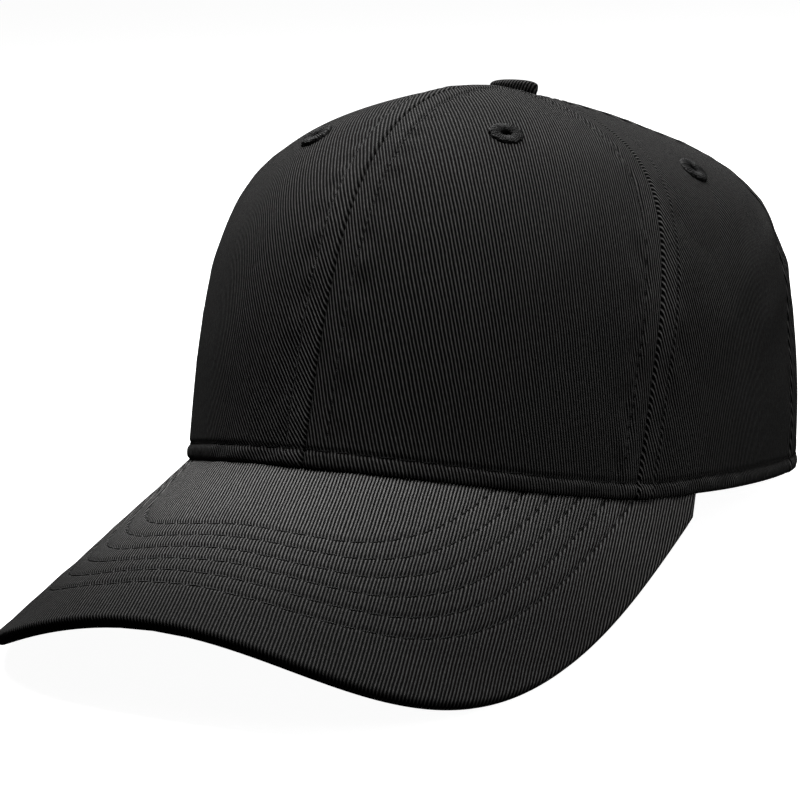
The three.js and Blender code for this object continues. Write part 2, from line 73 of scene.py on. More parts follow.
VISOR_SLOPE = 22.9 * RAD
VISOR_RADIUS = 107.6
VISOR_CURL_GROWTH = -0.227
CURL_REACH = 90
VISOR_LENGTH = 70.2
VISOR_HALF_WIDTH = 88.2
VISOR_SQUARENESS = 3.54
VISOR_CENTRE_BACK = 71.5
VISOR_HEIGHT = 7.6
VISOR_END = 73.5 * RAD
VISOR_END_MARGIN = 1 * RAD
CORNER_TAPER = 3.6  # drawn in further than in the CAD, so the corner stays hidden under the lower hem
CORNER_TAPER_SPAN = (55, 71)
VISOR_TUCK = 2.8
BACK_RIM_HEIGHT = 1.5

PANEL_INSIDE = -1.0
FOAM = (-3.2, -4.6)
SWEATBAND = (-4.9, -5.7)
VISOR_TOP = -0.3
VISOR_MIDDLE = -2.0
VISOR_BOTTOM = -3.7
VISOR_CLOTH = 0.6
HEM_OVER_VISOR = 0.2  # the sewn hem sits lower than in the CAD, down on the visor's cloth
HEM_OVER_RIM = 0.3
HEM_STEP = (6 * RAD, 18 * RAD)
SWEATBAND_SPAN = (1.8, 33)
FOAM_SPAN = (3.5, 31)
TAPE_WIDTH = 14
TAPE_BOTTOM = 3.5
TAPE_TOP_RADIUS = 12.5
TAPE_NARROWING = 0.85
TAPE_OVER_BUCKRAM = (-2.3, -2.9)
TAPE_OVER_PANEL = (-1.3, -1.9)

ARCH_HALF_WIDTH = 38
ARCH_HEIGHT = 46
ARCH_SQUARENESS = 2.6
ARCH_BINDING_WIDTH = 7
STRAP_ROOT_X = 34
STRAP_BOTTOM = 2
STRAP_HEIGHT = 20
STRAP_MARGIN = 1.5
OUTER_STRAP_TIP_X = -32
INNER_STRAP_TIP_X = 28
HOOK_TAPE_X = (22, -30)
LOOP_TAPE_X = (26, -28)
OUTER_STRAP = (1.1, -0.1)
HOOK_TAPE = (-0.4, -1.3)
LOOP_TAPE = (-1.6, -2.5)
INNER_STRAP = (-2.8, -4.0)

EYELET_RADIUS = 4.5
EYELET_HOLE_RADIUS = 1.4
PANEL_HOLE_RADIUS = 2.4  # the hole in the cloth under an eyelet, hidden by its thread
EYELET_PLACES = {
    "front_left": (34, 0.65),
    "front_right": (-30, 0.626),
    "side_left": (83, 0.583),
    "side_right": (-83, 0.583),
    "back_left": (143, 0.585),
    "back_right": (-143, 0.585),
}
BUTTON_RADIUS = 7
BUTTON_HEIGHT = 3.1
BUTTON_CLOTH = 0.5
BUTTON_SIDE = 1.3
BUTTON_SINK = 0.2  # the cloth button is pulled down into the crown, and is a little smaller
BUTTON_PULL = 0.98
APEX_HOLE_RADIUS = 3.2

# ---------------------------------------------------------------- sewing and cloth

SEAM_ROW = 5.7  # distance of the top stitching from a crown seam
SEAM_RIDGE = 0.5  # how far the doubled cloth along a seam stands up
SEAM_GROOVE = 1.0
SEAM_GROOVE_WIDTH = 0.38
ROW_LIMIT = 0.46  # near the apex a row is no further from its seam than this share of its radius
FLAT_TOP = (9, 22)  # the seams' relief grows between these distances from the apex
ROW_FURROW = 0.55  # depth of the furrow that the stitches pull into the cloth
ROW_FURROW_WIDTH = 0.5
THREAD_PITCH = 0.55  # length of one turn of its twist
SEAM_STITCH = 2.6  # stitch lengths, from one hole to the next
HEM_BAND = 4.2
HEM_BULGE = 0.3
HEM_STITCH = 5.3
VISOR_STITCH = 4.6
VISOR_ROWS = 6
VISOR_FIRST_ROW = 15.4
VISOR_ROW_SPACING = 5.45
RIGHT_ROW_SPACING = 4.3  # along the side edge on the wearer's right
ARCH_ROW = 4.5
RIB = 0.82  # spacing of the twill's ribs
# Lean of the ribs from each panel's upright, positive towards the wearer's left.
RIB_LEAN = {
    "front_left": -12 * RAD,
    "front_right": -36 * RAD,
    "side_left": -16 * RAD,
    "side_right": -20 * RAD,
    "back_left": -14 * RAD,
    "back_right": -18 * RAD,
}
VISOR_RIB_LEAN = 16 * RAD
STRAP_RIB_LEAN = 60 * RAD
PAINTED_LIGHT_LENGTH = 75  # painted light: the visor's cloth is painted paler near the crown, and darkens over this length
EDGE_ROUNDING = 1.1  # radius of the visor's edge
# Radius of a stitch's thread, and how far it leans to either side of its row.
CAP_THREAD = (0.17, 0.05)
HEM_THREAD = (0.2, 0.16)
VISOR_THREAD = (0.21, 0.2)
INNER_THREAD = (0.18, 0.08)
STITCH_SHARE = 0.9  # of the way to the next hole that a stitch covers
VISOR_STITCH_SHARE = 0.93
STITCH_SINK = 0.4  # how deep a stitch dives into the cloth at its ends
ARCH_STITCH = 3.2
STRAP_STITCH = 2.8
STRAP_STITCH_INSET = 1.8

# ---------------------------------------------------------------- fineness of the meshes

PANEL_COLUMNS = 88
PANEL_ROWS = 138
HEM_COLUMNS = 34  # of a back panel's columns, those that start from the hem and not from the cut-out
BAND_COLUMNS = 320
BAND_ROWS = 26
STRAP_GRID = (120, 31)
PATCH_GRID = (90, 25)
STITCH_RINGS = 9
STITCH_SIDES = 6

# ---------------------------------------------------------------- studio

LIGHTS = {  # place, size and power in watts
    "overhead": ((0, 0.1, 1.3), (0.9, 0.9), 21),
    "back_left": ((-0.6, 0.6, 0.9), (0.6, 0.5), 10.5),
    "high_right": ((0.6, 0.3, 1.1), (0.6, 0.6), 2.3),
    "right": ((1.1, -0.1, 0.6), (0.6, 0.6), 2.7),
}
LIGHT_TARGET = (0, 0, 0.05)
AMBIENT = 0.01
FLOOR_GLOW = 0.96  # keeps the floor as pale as the backdrop, with only a faint shadow
FLOOR_HALF_WIDTH = 6.0
# The camera looks at its target from a distance, turned from the front towards the wearer's left.
CAMERA_TARGET = (-0.01144, 0.0016, 0.04006)
CAMERA_DISTANCE = 0.5782
CAMERA_AZIMUTH = 27.524 * RAD
CAMERA_ELEVATION = 13.077 * RAD
CAMERA_ROLL = -2.229 * RAD
CAMERA_LENS = 94.64


# ---------------------------------------------------------------- surfaces


def to_world(points):
    """Millimetres in the cap's own frame to metres in the standing cap's frame."""
    x, y, z = np.moveaxis(np.asarray(points, float), -1, 0)
    c, s = math.cos(REST_TILT), math.sin(REST_TILT)
    return (np.stack([x, y * c + z * s, z * c - y * s], -1) + REST_SHIFT) / 1000


def running_integral(values, step):
    return np.concatenate([[0], np.cumsum((values[1:] + values[:-1]) / 2 * step)])


SECTION_STEP = 0.1
SECTION_U = np.arange(0, 130, SECTION_STEP)
SECTION_ANGLE = (
    SECTION_U * (1 - VISOR_CURL_GROWTH) + 2 * VISOR_CURL_GROWTH * SECTION_U**3 / (3 * CURL_REACH**2)
) / VISOR_RADIUS
SECTION_ACROSS = running_integral(np.cos(SECTION_ANGLE), SECTION_STEP)
SECTION_DROP = running_integral(np.sin(SECTION_ANGLE), SECTION_STEP)


def visor_point(u, w, lift):
    """Point of the visor at arc length u across and w forward of the rim, lifted off its top surface."""
    reach = np.abs(u)
    angle = np.sign(u) * np.interp(reach, SECTION_U, SECTION_ANGLE)
    across = np.sign(u) * np.interp(reach, SECTION_U, SECTION_ACROSS)
    level = lift * np.cos(angle) - np.interp(reach, SECTION_U, SECTION_DROP)
    s, c = math.sin(VISOR_SLOPE), math.cos(VISOR_SLOPE)
    x = across + lift * np.sin(angle)
    return np.stack([x, -FRONT_LENGTH - w * c - level * s, VISOR_HEIGHT - w * s + level * c], -1)


def rim_width(azimuth):
    """Half width of the head opening, which changes from front to back."""
    cosine = np.cos(azimuth)
    return HALF_WIDTH * (1 - EGG * cosine + BACK_FULLNESS * np.minimum(cosine, 0) ** 2)


def rim_x(azimuth):
    return rim_width(azimuth) * np.sin(azimuth)


def rim_y(azimuth):
    return -np.cos(azimuth) * np.where(np.cos(azimuth) > 0, FRONT_LENGTH, BACK_LENGTH)


def visor_under_rim(azimuth, inset):
    """Flat place (u, w) on the visor under a rim point, moved inwards by inset."""
    shrink = 1 - inset / FRONT_LENGTH
    x, y = rim_x(azimuth) * shrink, rim_y(azimuth) * shrink
    u = np.sign(x) * np.interp(np.abs(x), SECTION_ACROSS, SECTION_U)
    drop = np.interp(np.abs(u), SECTION_U, SECTION_DROP)
    return u, (drop * math.sin(VISOR_SLOPE) - FRONT_LENGTH - y) / math.cos(VISOR_SLOPE)


def visor_outline(angle, inset):
    """Flat outline of the visor, moved inwards by inset."""
    power = 2 / VISOR_SQUARENESS
    u = (VISOR_HALF_WIDTH - inset) * np.sign(np.sin(angle)) * np.abs(np.sin(angle)) ** power
    ahead = np.abs(np.cos(angle)) ** power
    return u, -VISOR_CENTRE_BACK + (VISOR_LENGTH + VISOR_CENTRE_BACK - inset) * ahead


def folded(azimuth):
    """The azimuth as an angle from the front, the same on both sides."""
    return np.abs(np.arctan2(np.sin(azimuth), np.cos(azimuth)))


def rim_on_visor(azimuth):
    u, w = visor_under_rim(azimuth, 0)
    return visor_point(u, w, 0 * u)[..., 2]


RIM_AZIMUTH = np.linspace(0, math.pi, 1441)
RIM_CORNER = rim_on_visor(np.array([VISOR_END]))[0]
RIM_HEIGHT = np.where(
    RIM_AZIMUTH <= VISOR_END,
    rim_on_visor(np.minimum(RIM_AZIMUTH, VISOR_END)),
    RIM_CORNER + (BACK_RIM_HEIGHT - RIM_CORNER) * (RIM_AZIMUTH - VISOR_END) / (math.pi - VISOR_END),
)


def rim_height(azimuth):
    return np.interp(folded(azimuth), RIM_AZIMUTH, RIM_HEIGHT)


def around(shape, azimuth):
    """Blends a (front, side, back) triple around the crown."""
    front, side, back = shape
    cosine = np.cos(azimuth)
    return side + (np.where(cosine > 0, front, back) - side) * cosine**2


def meridian(azimuth, along):
    """Share of the rim's radius, and height, at a place from 0 at the rim to 1 at the apex."""
    rim = rim_height(azimuth)
    top = around(TOP_HANDLE, azimuth)
    rest = 1 - along
    b0, b1, b2, b3 = rest**3, 3 * rest**2 * along, 3 * rest * along**2, along**3
    share = b0 + b1 * (1 + around(BULGE, azimuth)) + b2 * top
    wall = rim + around(WALL_HANDLE, azimuth)
    shoulder = CROWN_HEIGHT - top * around(TOP_DROP, azimuth)
    return share, b0 * rim + b1 * wall + b2 * shoulder + b3 * CROWN_HEIGHT


def crown_surface(azimuth, along):
    share, height = meridian(azimuth, along)
    return np.stack([share * rim_x(azimuth), APEX_Y * (1 - share) + share * rim_y(azimuth), height], -1)


def unit(vectors):
    return vectors / np.maximum(np.linalg.norm(vectors, axis=-1, keepdims=True), 1e-12)


def crown_normal(azimuth, along):
    step = 1e-3
    sideways = crown_surface(azimuth + step, along) - crown_surface(azimuth - step, along)
    upwards = crown_surface(azimuth, along + step) - crown_surface(azimuth, along - step)
    return unit(np.cross(sideways, upwards))


def crown_point(azimuth, along, lift):
    lift = np.broadcast_to(lift, np.shape(azimuth))
    return crown_surface(azimuth, along) + crown_normal(azimuth, along) * lift[..., None]


def mm_per_radian(azimuth, along):
    """How far the surface runs sideways for a radian of azimuth."""
    step = 1e-3
    ahead, behind = crown_surface(azimuth + step, along), crown_surface(azimuth - step, along)
    return np.linalg.norm(ahead - behind, axis=-1) / (2 * step)


def solve(rising, target, low, high):
    """Value in [low, high] at which a rising function reaches the target, for arrays."""
    low, high = np.broadcast_arrays(np.asarray(low, float) + 0 * target, high)
    for _ in range(30):
        middle = (low + high) / 2
        short = rising(middle) < target
        low, high = np.where(short, middle, low), np.where(short, high, middle)
    return (low + high) / 2


def along_at_height(azimuth, height):
    return solve(lambda s: meridian(azimuth, s)[1] - rim_height(azimuth), height + 0 * azimuth, 0, 0.9)


def along_at_radius(azimuth, radius):
    reach = np.hypot(rim_x(azimuth), rim_y(azimuth))
    return solve(lambda s: -meridian(azimuth, s)[0] * reach, -radius + 0 * azimuth, 0.3, 1)


def back_place(x, height):
    """Azimuth and place along the meridian of a point at the back, from its x and height above the rim."""
    azimuth = math.pi + 0 * x
    along = 0 * x
    for _ in range(12):
        along = along_at_height(azimuth, height)
        azimuth = math.pi - np.arcsin(x / (meridian(azimuth, along)[0] * rim_width(azimuth)))
    return azimuth, along


def seam_azimuth(seam, along):
    """A seam's azimuth on the wearer's left, at a place along it."""
    azimuth, swing = SEAMS[seam]
    return azimuth - swing * (1 - along) ** 3


def smoothstep(low, high, x):
    t = np.clip((x - low) / (high - low), 0, 1)
    return t * t * (3 - 2 * t)


def hem_clearance(azimuth):
    """How far the hem stands above the rim line, which runs over the visor and on round the back."""
    past = smoothstep(*HEM_STEP, folded(azimuth) - VISOR_END)
    return HEM_OVER_VISOR + (HEM_OVER_RIM - HEM_OVER_VISOR) * past


def arch_point(angle, grow):
    """The rear cut-out's outline, as x and height above the rim, from its left foot to its right at pi."""
    power = 2 / ARCH_SQUARENESS
    across = np.sign(np.cos(angle)) * np.abs(np.cos(angle)) ** power
    return (ARCH_HALF_WIDTH + grow) * across, (ARCH_HEIGHT + grow) * np.maximum(np.sin(angle), 0) ** power


# ---------------------------------------------------------------- how the cloth lies


def distance_to(points, line):
    """Distance of each point from a polyline."""
    flat = points.reshape(-1, 3)
    starts, runs = line[:-1], line[1:] - line[:-1]
    best = np.full(len(flat), np.inf)
    for start, run in zip(starts, runs):
        away = flat - start
        share = np.clip(away @ run / max(run @ run, 1e-9), 0, 1)
        best = np.minimum(best, ((away - share[:, None] * run) ** 2).sum(-1))
    return np.sqrt(best).reshape(points.shape[:-1])


def seam_line(seam, side):
    """A crown seam as a polyline; side is 1 on the wearer's left and -1 on the right."""
    along = np.linspace(0, 0.995, 90)
    return crown_surface(side * seam_azimuth(seam, along), along)


SEAM_LINES = [seam_line(seam, side) for seam, side in (("front", 1), ("back", 1))] + [
    seam_line(seam, side) for seam in ("front_side", "side_back") for side in (1, -1)
]
ARCH_LINE = crown_surface(*back_place(*arch_point(np.linspace(0, math.pi, 61), 0)))


def ripples(points, wavelength, seed, waves=9):
    """A smooth random field of about unit size, made of plane waves in random directions."""
    draw = np.random.default_rng(seed)
    directions = unit(draw.normal(size=(waves, 3)))
    lengths = wavelength * draw.uniform(0.7, 1.4, waves)
    phases = draw.uniform(0, 2 * math.pi, waves)
    total = np.zeros(points.shape[:-1])
    for direction, length, phase in zip(directions, lengths, phases):
        total += np.cos(points @ direction * (2 * math.pi / length) + phase)
    return total / math.sqrt(waves / 2)


def dip(distance, centre, width):
    """A smooth bell of height 1 round a centre."""
    return np.exp(-(((distance - centre) / width) ** 2))


def panel_softness(points, azimuth, along):
    """How far the unstiffened cloth strays from the smooth crown: broad hollows and soft puckers."""
    turn = folded(azimuth)
    stiff = 1 - smoothstep(60 * RAD, 80 * RAD, turn)
    inner = smoothstep(0.05, 0.25, along) * (1 - smoothstep(0.8, 0.95, along))
    broad = ripples(points, 62, 4) * (0.12 * stiff + 0.55 * (1 - stiff))
    small = ripples(points, 21, 9) * (0.05 * stiff + 0.14 * (1 - stiff))
    behind_seam = dip(turn - seam_azimuth("front_side", along), 12 * RAD, 7 * RAD)
    hollow = -2.6 * behind_seam * dip(along, 0.46, 0.17)
    return (broad + small) * inner + hollow


def crown_cloth(azimuth, along):
    """Lift of the panels' outer face off the smooth crown, with its seams, hem and cut-out edge."""
    points = crown_surface(azimuth, along)
    seam = np.minimum.reduce([distance_to(points, line) for line in SEAM_LINES])
    radius = np.hypot(points[..., 0], points[..., 1] - APEX_Y)
    row = np.minimum(SEAM_ROW, ROW_LIMIT * radius)
    relief = smoothstep(*FLAT_TOP, radius)
    ridge = SEAM_RIDGE * (1 - smoothstep(row - 0.4, row + 2.0, seam)) * (0.4 + 0.6 * relief)
    pucker = 0.13 * ripples(points, 6.5, 21) * dip(seam, 7, 3.5) * relief
    furrow = ROW_FURROW * dip(seam, row, ROW_FURROW_WIDTH) * relief
    lift = ridge - SEAM_GROOVE * dip(seam, 0, SEAM_GROOVE_WIDTH) - furrow + pucker
    height = meridian(azimuth, along)[1] - rim_height(azimuth) - hem_clearance(azimuth)
    band = np.clip(height / HEM_BAND, 0, 1)
    hem = (HEM_BULGE + 0.12 * ripples(points, 8, 33)) * np.sin(math.pi * band) ** 0.7
    hem -= 0.5 * dip(height, HEM_BAND, 0.55) + 0.5 * np.clip(1 - height / 0.8, 0, 1) ** 2
    arch = distance_to(points, ARCH_LINE)
    at_back = folded(azimuth) > 140 * RAD
    turned_in = -0.45 * np.clip(1 - arch / 0.9, 0, 1) ** 2 - 0.3 * dip(arch, ARCH_ROW, 0.6)
    return lift + hem + np.where(at_back, turned_in, 0) + panel_softness(points, azimuth, along)


def visor_rim_w(u):
    """How far forward the rim lies over the visor, at each place across."""
    azimuth = np.linspace(-VISOR_END, VISOR_END, 301)
    rim_u, rim_w = visor_under_rim(azimuth, 0)
    return np.interp(u, rim_u, rim_w)


def row_inset(index):
    """How far a stitch row lies inside the visor's outline."""
    return VISOR_FIRST_ROW + VISOR_ROW_SPACING * index


def row_outline(angle, inset):
    """Flat outline of a stitch row: on the wearer's right the rows lie closer together at their sides."""
    u, w = visor_outline(angle, inset)
    right = VISOR_HALF_WIDTH - right_inset(inset)
    return np.where(u < 0, u * right / (VISOR_HALF_WIDTH - inset), u), w


def right_inset(inset):
    """The same distance beside the edge on the wearer's right."""
    return VISOR_FIRST_ROW + (inset - VISOR_FIRST_ROW) * RIGHT_ROW_SPACING / VISOR_ROW_SPACING


def corner_taper(w):
    """How far the visor's side edge is drawn in at its back corners, to end under the hem."""
    start, end = CORNER_TAPER_SPAN
    return CORNER_TAPER * np.clip((-w - start) / (end - start), 0, 1) ** 4


def tapered_outline(angle, inset):
    u, w = visor_outline(angle, inset)
    return u - np.sign(u) * corner_taper(w), w


def outwards(face):
    """Which way a cover's outer side looks: 1 for up and -1 for down."""
    return 1 if face > VISOR_MIDDLE else -1


def outline_inset(u, w):
    """How far a flat place on the visor is inside its outline, along the family of stitch rows."""
    centre_w = w + VISOR_CENTRE_BACK
    q = VISOR_SQUARENESS

    def shortfall(inset):
        side = np.where((u < 0) & (inset > VISOR_FIRST_ROW), right_inset(inset), inset)
        across = np.abs(u) / (VISOR_HALF_WIDTH - side)
        ahead = np.maximum(centre_w, 0) / (VISOR_LENGTH + VISOR_CENTRE_BACK - inset)
        return across**q + ahead**q

    return solve(shortfall, 1 + 0 * u, 0 * u - 2, 0 * u + 80)


def visor_cloth(u, w):
    """Lift of the visor's cloth off its smooth surface: stitched furrows, and swelling between them."""
    inset = outline_inset(u, w)
    phase = (inset - VISOR_FIRST_ROW) / VISOR_ROW_SPACING
    nearest = np.clip(np.round(phase), 0, VISOR_ROWS - 1)
    furrow = -0.5 * dip((phase - nearest) * VISOR_ROW_SPACING, 0, 0.6)
    flat = np.stack([u, w, 0 * u], -1)
    return furrow + 0.06 * ripples(flat, 14, 51) + 0.1 * ripples(flat, 45, 52)


# ---------------------------------------------------------------- meshes


def shell(outer, inner, removed=None):
    """Points and faces of a closed sheet between two grids of points; removed faces leave a walled hole."""
    rows, columns = outer.shape[:2]
    size = rows * columns
    index = np.arange(size).reshape(rows, columns)
    quads = np.stack([index[:-1, :-1], index[:-1, 1:], index[1:, 1:], index[1:, :-1]], -1)
    quads = quads.reshape(-1, 4) if removed is None else quads[~removed]
    starts, ends = quads.ravel(), np.roll(quads, -1, axis=1).ravel()
    border = ~np.isin(starts * size + ends, ends * size + starts)
    a, b = starts[border], ends[border]
    walls = np.stack([b, a, a + size, b + size], -1)
    faces = np.concatenate([quads, quads[:, ::-1] + size, walls])
    points = np.concatenate([outer.reshape(-1, 3), inner.reshape(-1, 3)])
    return points, faces


def ring_grid(points):
    """Faces of a grid whose rows close on themselves, as quads; the first axis runs round the section."""
    sections, around_count = points.shape[:2]
    index = np.arange(sections * around_count).reshape(sections, around_count)
    turned = np.roll(index, -1, axis=1)
    quads = np.stack([index, turned, np.roll(turned, -1, axis=0), np.roll(index, -1, axis=0)], -1)
    return points.reshape(-1, 3), quads.reshape(-1, 4)


def facing_out(points, faces):
    """The faces, turned round if they point inwards."""
    corners = points[faces]
    first = np.cross(corners[:, 1] - corners[:, 0], corners[:, 2] - corners[:, 0])
    second = np.cross(corners[:, 2] - corners[:, 0], corners[:, 3] - corners[:, 0])
    volume = (corners[:, 0] * (first + second)).sum()
    return faces if volume > 0 else faces[:, ::-1]


def make_piece(name, points, faces, material, body="cap", stands_for=(), weave=None):
    """A mesh piece in the standing cap's frame; weave is the cloth's own coordinates, in millimetres."""
    faces = facing_out(points, faces)
    used, compact = np.unique(faces, return_inverse=True)
    mesh = bpy.data.meshes.new(name)
    mesh.from_pydata(to_world(points[used]).tolist(), [], compact.reshape(faces.shape).tolist())
    if weave is not None:
        layer = mesh.attributes.new("weave", "FLOAT_VECTOR", "POINT")
        layer.data.foreach_set("vector", weave[used].astype(np.float32).ravel())
    mesh.polygons.foreach_set("use_smooth", np.ones(len(mesh.polygons), bool))
    mesh.materials.append(material)
    piece = bpy.data.objects.new(name, mesh)
    bpy.context.scene.collection.objects.link(piece)
    if stands_for:
        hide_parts(*stands_for)
    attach(piece, body)
    return piece


def make_sheet(name, outer, inner, material, node, body="cap", weave=None, removed=None):
    """A closed sheet between two grids of points, in place of a CAD node."""
    points, faces = shell(outer, inner, removed)
    if weave is not None:
        weave = np.concatenate([weave, weave])
    return make_piece(name, points, faces, material, body, [node], weave)


def weave_map(x, y, lean, wear_and_light=None):
    """Cloth coordinates: across the ribs, along the ribs, and how pale the place is: rubbed cloth, and
    painted light on the visor.
    """
    wear_and_light = 0 * x if wear_and_light is None else wear_and_light
    across = x * math.cos(lean) - y * math.sin(lean)
    along = x * math.sin(lean) + y * math.cos(lean)
    return np.stack([across, along, wear_and_light], -1).reshape(-1, 3)


def dense_ends(count, strength):
    """From 0 to 1 with closer steps at both ends."""
    t = np.linspace(0, 1, count)
    return t - strength * np.sin(2 * math.pi * t) / (2 * math.pi)


def dense_start(count, share):
    """From 0 to 1 with steps that start at this share of their mean size."""
    t = np.linspace(0, 1, count)
    return share * t + (1 - share) * t * t


# ---------------------------------------------------------------- node helpers


class Nodes:
    """Short names for the nodes that the materials use."""

    def __init__(self, tree):
        self.tree = tree

    def put(self, target, value):
        if isinstance(value, bpy.types.NodeSocket):
            self.tree.links.new(value, target)
        else:
            target.default_value = value

    def math(self, operation, *values):
        node = self.tree.nodes.new("ShaderNodeMath")
        node.operation = operation
        for target, value in zip(node.inputs, values):
            self.put(target, value)
        return node.outputs[0]

    def scaled(self, vector, scale):
        node = self.tree.nodes.new("ShaderNodeVectorMath")
        node.operation = "MULTIPLY"
        self.put(node.inputs[0], vector)
        node.inputs[1].default_value = scale
        return node.outputs[0]

    def noise(self, vector, scale, detail=2.0):
        node = self.tree.nodes.new("ShaderNodeTexNoise")
        self.put(node.inputs["Vector"], vector)
        node.inputs["Scale"].default_value = scale
        node.inputs["Detail"].default_value = detail
        return node.outputs["Fac"]

    def mix(self, share, first, second):
        node = self.tree.nodes.new("ShaderNodeMix")
        node.data_type = "RGBA"
        self.put(node.inputs[0], share)
        self.put(node.inputs[6], first)
        self.put(node.inputs[7], second)
        return node.outputs[2]

    def attribute(self, name):
        node = self.tree.nodes.new("ShaderNodeAttribute")
        node.attribute_name = name
        return node.outputs["Vector"], *self.split(node.outputs["Vector"])

    def split(self, vector):
        node = self.tree.nodes.new("ShaderNodeSeparateXYZ")
        self.put(node.inputs[0], vector)
        return tuple(node.outputs)

    def cells(self, scale):
        node = self.tree.nodes.new("ShaderNodeTexVoronoi")
        self.put(node.inputs["Vector"], self.object_coordinates())
        node.inputs["Scale"].default_value = scale
        return node.outputs["Distance"]

    def surface(self, shader, color, normal, roughness):
        for name, value in (("Base Color", color), ("Normal", normal), ("Roughness", roughness)):
            self.put(shader.inputs[name], value)

    def object_coordinates(self):
        return self.tree.nodes.new("ShaderNodeTexCoord").outputs["Object"]

    def bump(self, height, distance, strength=1.0):
        node = self.tree.nodes.new("ShaderNodeBump")
        self.put(node.inputs["Height"], height)
        node.inputs["Distance"].default_value = distance
        node.inputs["Strength"].default_value = strength
        return node.outputs["Normal"]


def new_material(name):
    """A material, the helper that adds its nodes, and its shader."""
    material = bpy.data.materials.new(name)
    material.use_nodes = True
    return material, Nodes(material.node_tree), material.node_tree.nodes["Principled BSDF"]


def grey(value, warmth=0.0):
    return (value * (1 + warmth), value, value * (1 - warmth), 1)


# ---------------------------------------------------------------- materials


def twill(name, crest, plain, wear_and_light_gain):
    """Black cotton twill: steep ribs of uneven yarn with painted shade in their valleys, paler where the
    cloth is rubbed, and paler still where painted light falls on the visor near the crown.
    """
    material, n, shader = new_material(name)
    weave, across, _, wear_and_light = n.attribute("weave")
    wobble = n.math("SUBTRACT", n.noise(n.scaled(weave, (0.16, 0.07, 0)), 1.0), 0.5)
    wobbled = n.math("MULTIPLY_ADD", wobble, 0.55, across)
    wave = n.math("ABSOLUTE", n.math("SINE", n.math("MULTIPLY", wobbled, math.pi / RIB)))
    ridge = n.math("POWER", wave, 4.0)
    yarn = n.noise(n.scaled(weave, (0.9 / RIB, 0.8, 0)), 1.0, 3.0)
    grain = n.noise(n.scaled(weave, (1, 1, 0)), 6.0, 2.0)
    uneven = n.math("MULTIPLY", ridge, n.math("MULTIPLY_ADD", yarn, 1.1, 0.45))
    patches = n.math("MULTIPLY_ADD", n.noise(n.scaled(weave, (1, 1, 0)), 0.035, 3.0), 0.4, 0.8)
    # Third channel: rubbed-cloth paleness on crown and straps, and painted light near the crown on the
    # visor's top.
    tone = n.math("MULTIPLY", patches, n.math("MULTIPLY_ADD", wear_and_light, wear_and_light_gain, plain))
    share = n.math("MULTIPLY", uneven, tone)
    height = n.math("MULTIPLY_ADD", grain, 0.25, n.math("MULTIPLY_ADD", yarn, 0.35, ridge))
    # The near-black valley colour is painted shade in the ribs' recesses, on top of the twill's own rib
    # pattern.
    color = n.mix(share, grey(0.0002), grey(crest, 0.015))
    n.surface(shader, color, n.bump(height, 0.0003, 1.0), n.math("MULTIPLY_ADD", yarn, -0.15, 0.95))
    shader.inputs["Specular IOR Level"].default_value = 0.03
    shader.inputs["Sheen Weight"].default_value = 0.01
    shader.inputs["Sheen Roughness"].default_value = 0.4
    return material


def thread_material(name, value):
    """Sewing thread: two plies twisted together, a little shinier than the cloth."""
    material, n, shader = new_material(name)
    weave, along, turn, _ = n.attribute("weave")
    winding = n.math("MULTIPLY", turn, 2 * math.pi)
    twist = n.math("SINE", n.math("MULTIPLY_ADD", along, 2 * math.pi / THREAD_PITCH, winding))
    fuzz = n.noise(weave, 3.0)
    tone = n.math("MULTIPLY_ADD", twist, 0.3, n.math("MULTIPLY", fuzz, 0.8))
    color = n.mix(tone, grey(value * 0.4), grey(value * 1.6, 0.02))
    rough = n.math("MULTIPLY_ADD", fuzz, 0.3, 0.45)
    n.surface(shader, color, n.bump(n.math("MULTIPLY_ADD", fuzz, 0.4, twist), 0.00006), rough)
    shader.inputs["Specular IOR Level"].default_value = 0.2
    return material


def plain_weave(name, dark, light, pitch, sheen=0.1, openness=0.0):
    """A plain weave of square yarns, for sweatband, tape, label and buckram."""
    material, n, shader = new_material(name)
    point = n.scaled(n.object_coordinates(), (1000, 1000, 1000))
    x, y, z = n.split(point)
    across = n.math("ADD", x, n.math("MULTIPLY", y, 0.83))
    first = n.math("ABSOLUTE", n.math("SINE", n.math("MULTIPLY", across, math.pi / pitch)))
    second = n.math("ABSOLUTE", n.math("SINE", n.math("MULTIPLY", z, math.pi / pitch)))
    weave = n.math("MULTIPLY", first, second)
    fuzz = n.noise(point, 0.8, 3.0)
    cover = n.math("MULTIPLY_ADD", fuzz, 0.5, n.math("POWER", weave, 0.5 + openness))
    color = n.mix(cover, dark, light)
    rough = n.math("MULTIPLY_ADD", fuzz, 0.15, 0.8)
    n.surface(shader, color, n.bump(n.math("MULTIPLY_ADD", fuzz, 0.3, weave), pitch * 0.00025), rough)
    shader.inputs["Sheen Weight"].default_value = sheen
    return material


def foam_material():
    """Open-celled foam: small dark pores in a pale body."""
    material, n, shader = new_material("foam")
    pores = n.math("SMOOTH_MIN", n.cells(1400), 0.6, 0.2)
    color = n.mix(pores, (0.35, 0.32, 0.27, 1), (0.8, 0.77, 0.7, 1))
    n.surface(shader, color, n.bump(pores, 0.0002), 0.95)
    return material


def metal_material():
    """Pressed metal with a fine brushed grain and a few dull patches."""
    material, n, shader = new_material("button_metal")
    point = n.object_coordinates()
    grain = n.noise(n.scaled(point, (9000, 900, 900)), 1.0, 3.0)
    patches = n.noise(point, 300, 3.0)
    color = n.mix(patches, (0.42, 0.43, 0.44, 1), (0.6, 0.6, 0.6, 1))
    n.surface(shader, color, n.bump(grain, 0.00002), n.math("MULTIPLY_ADD", grain, 0.2, 0.25))
    shader.inputs["Metallic"].default_value = 1.0
    return material


def plastic_material():
    """Moulded board with a fine matt texture."""
    material, n, shader = new_material("visor_plastic")
    grain = n.noise(n.object_coordinates(), 2500, 2.0)
    color = n.mix(grain, grey(0.012), grey(0.03))
    n.surface(shader, color, n.bump(grain, 0.00004), n.math("MULTIPLY_ADD", grain, 0.2, 0.4))
    return material


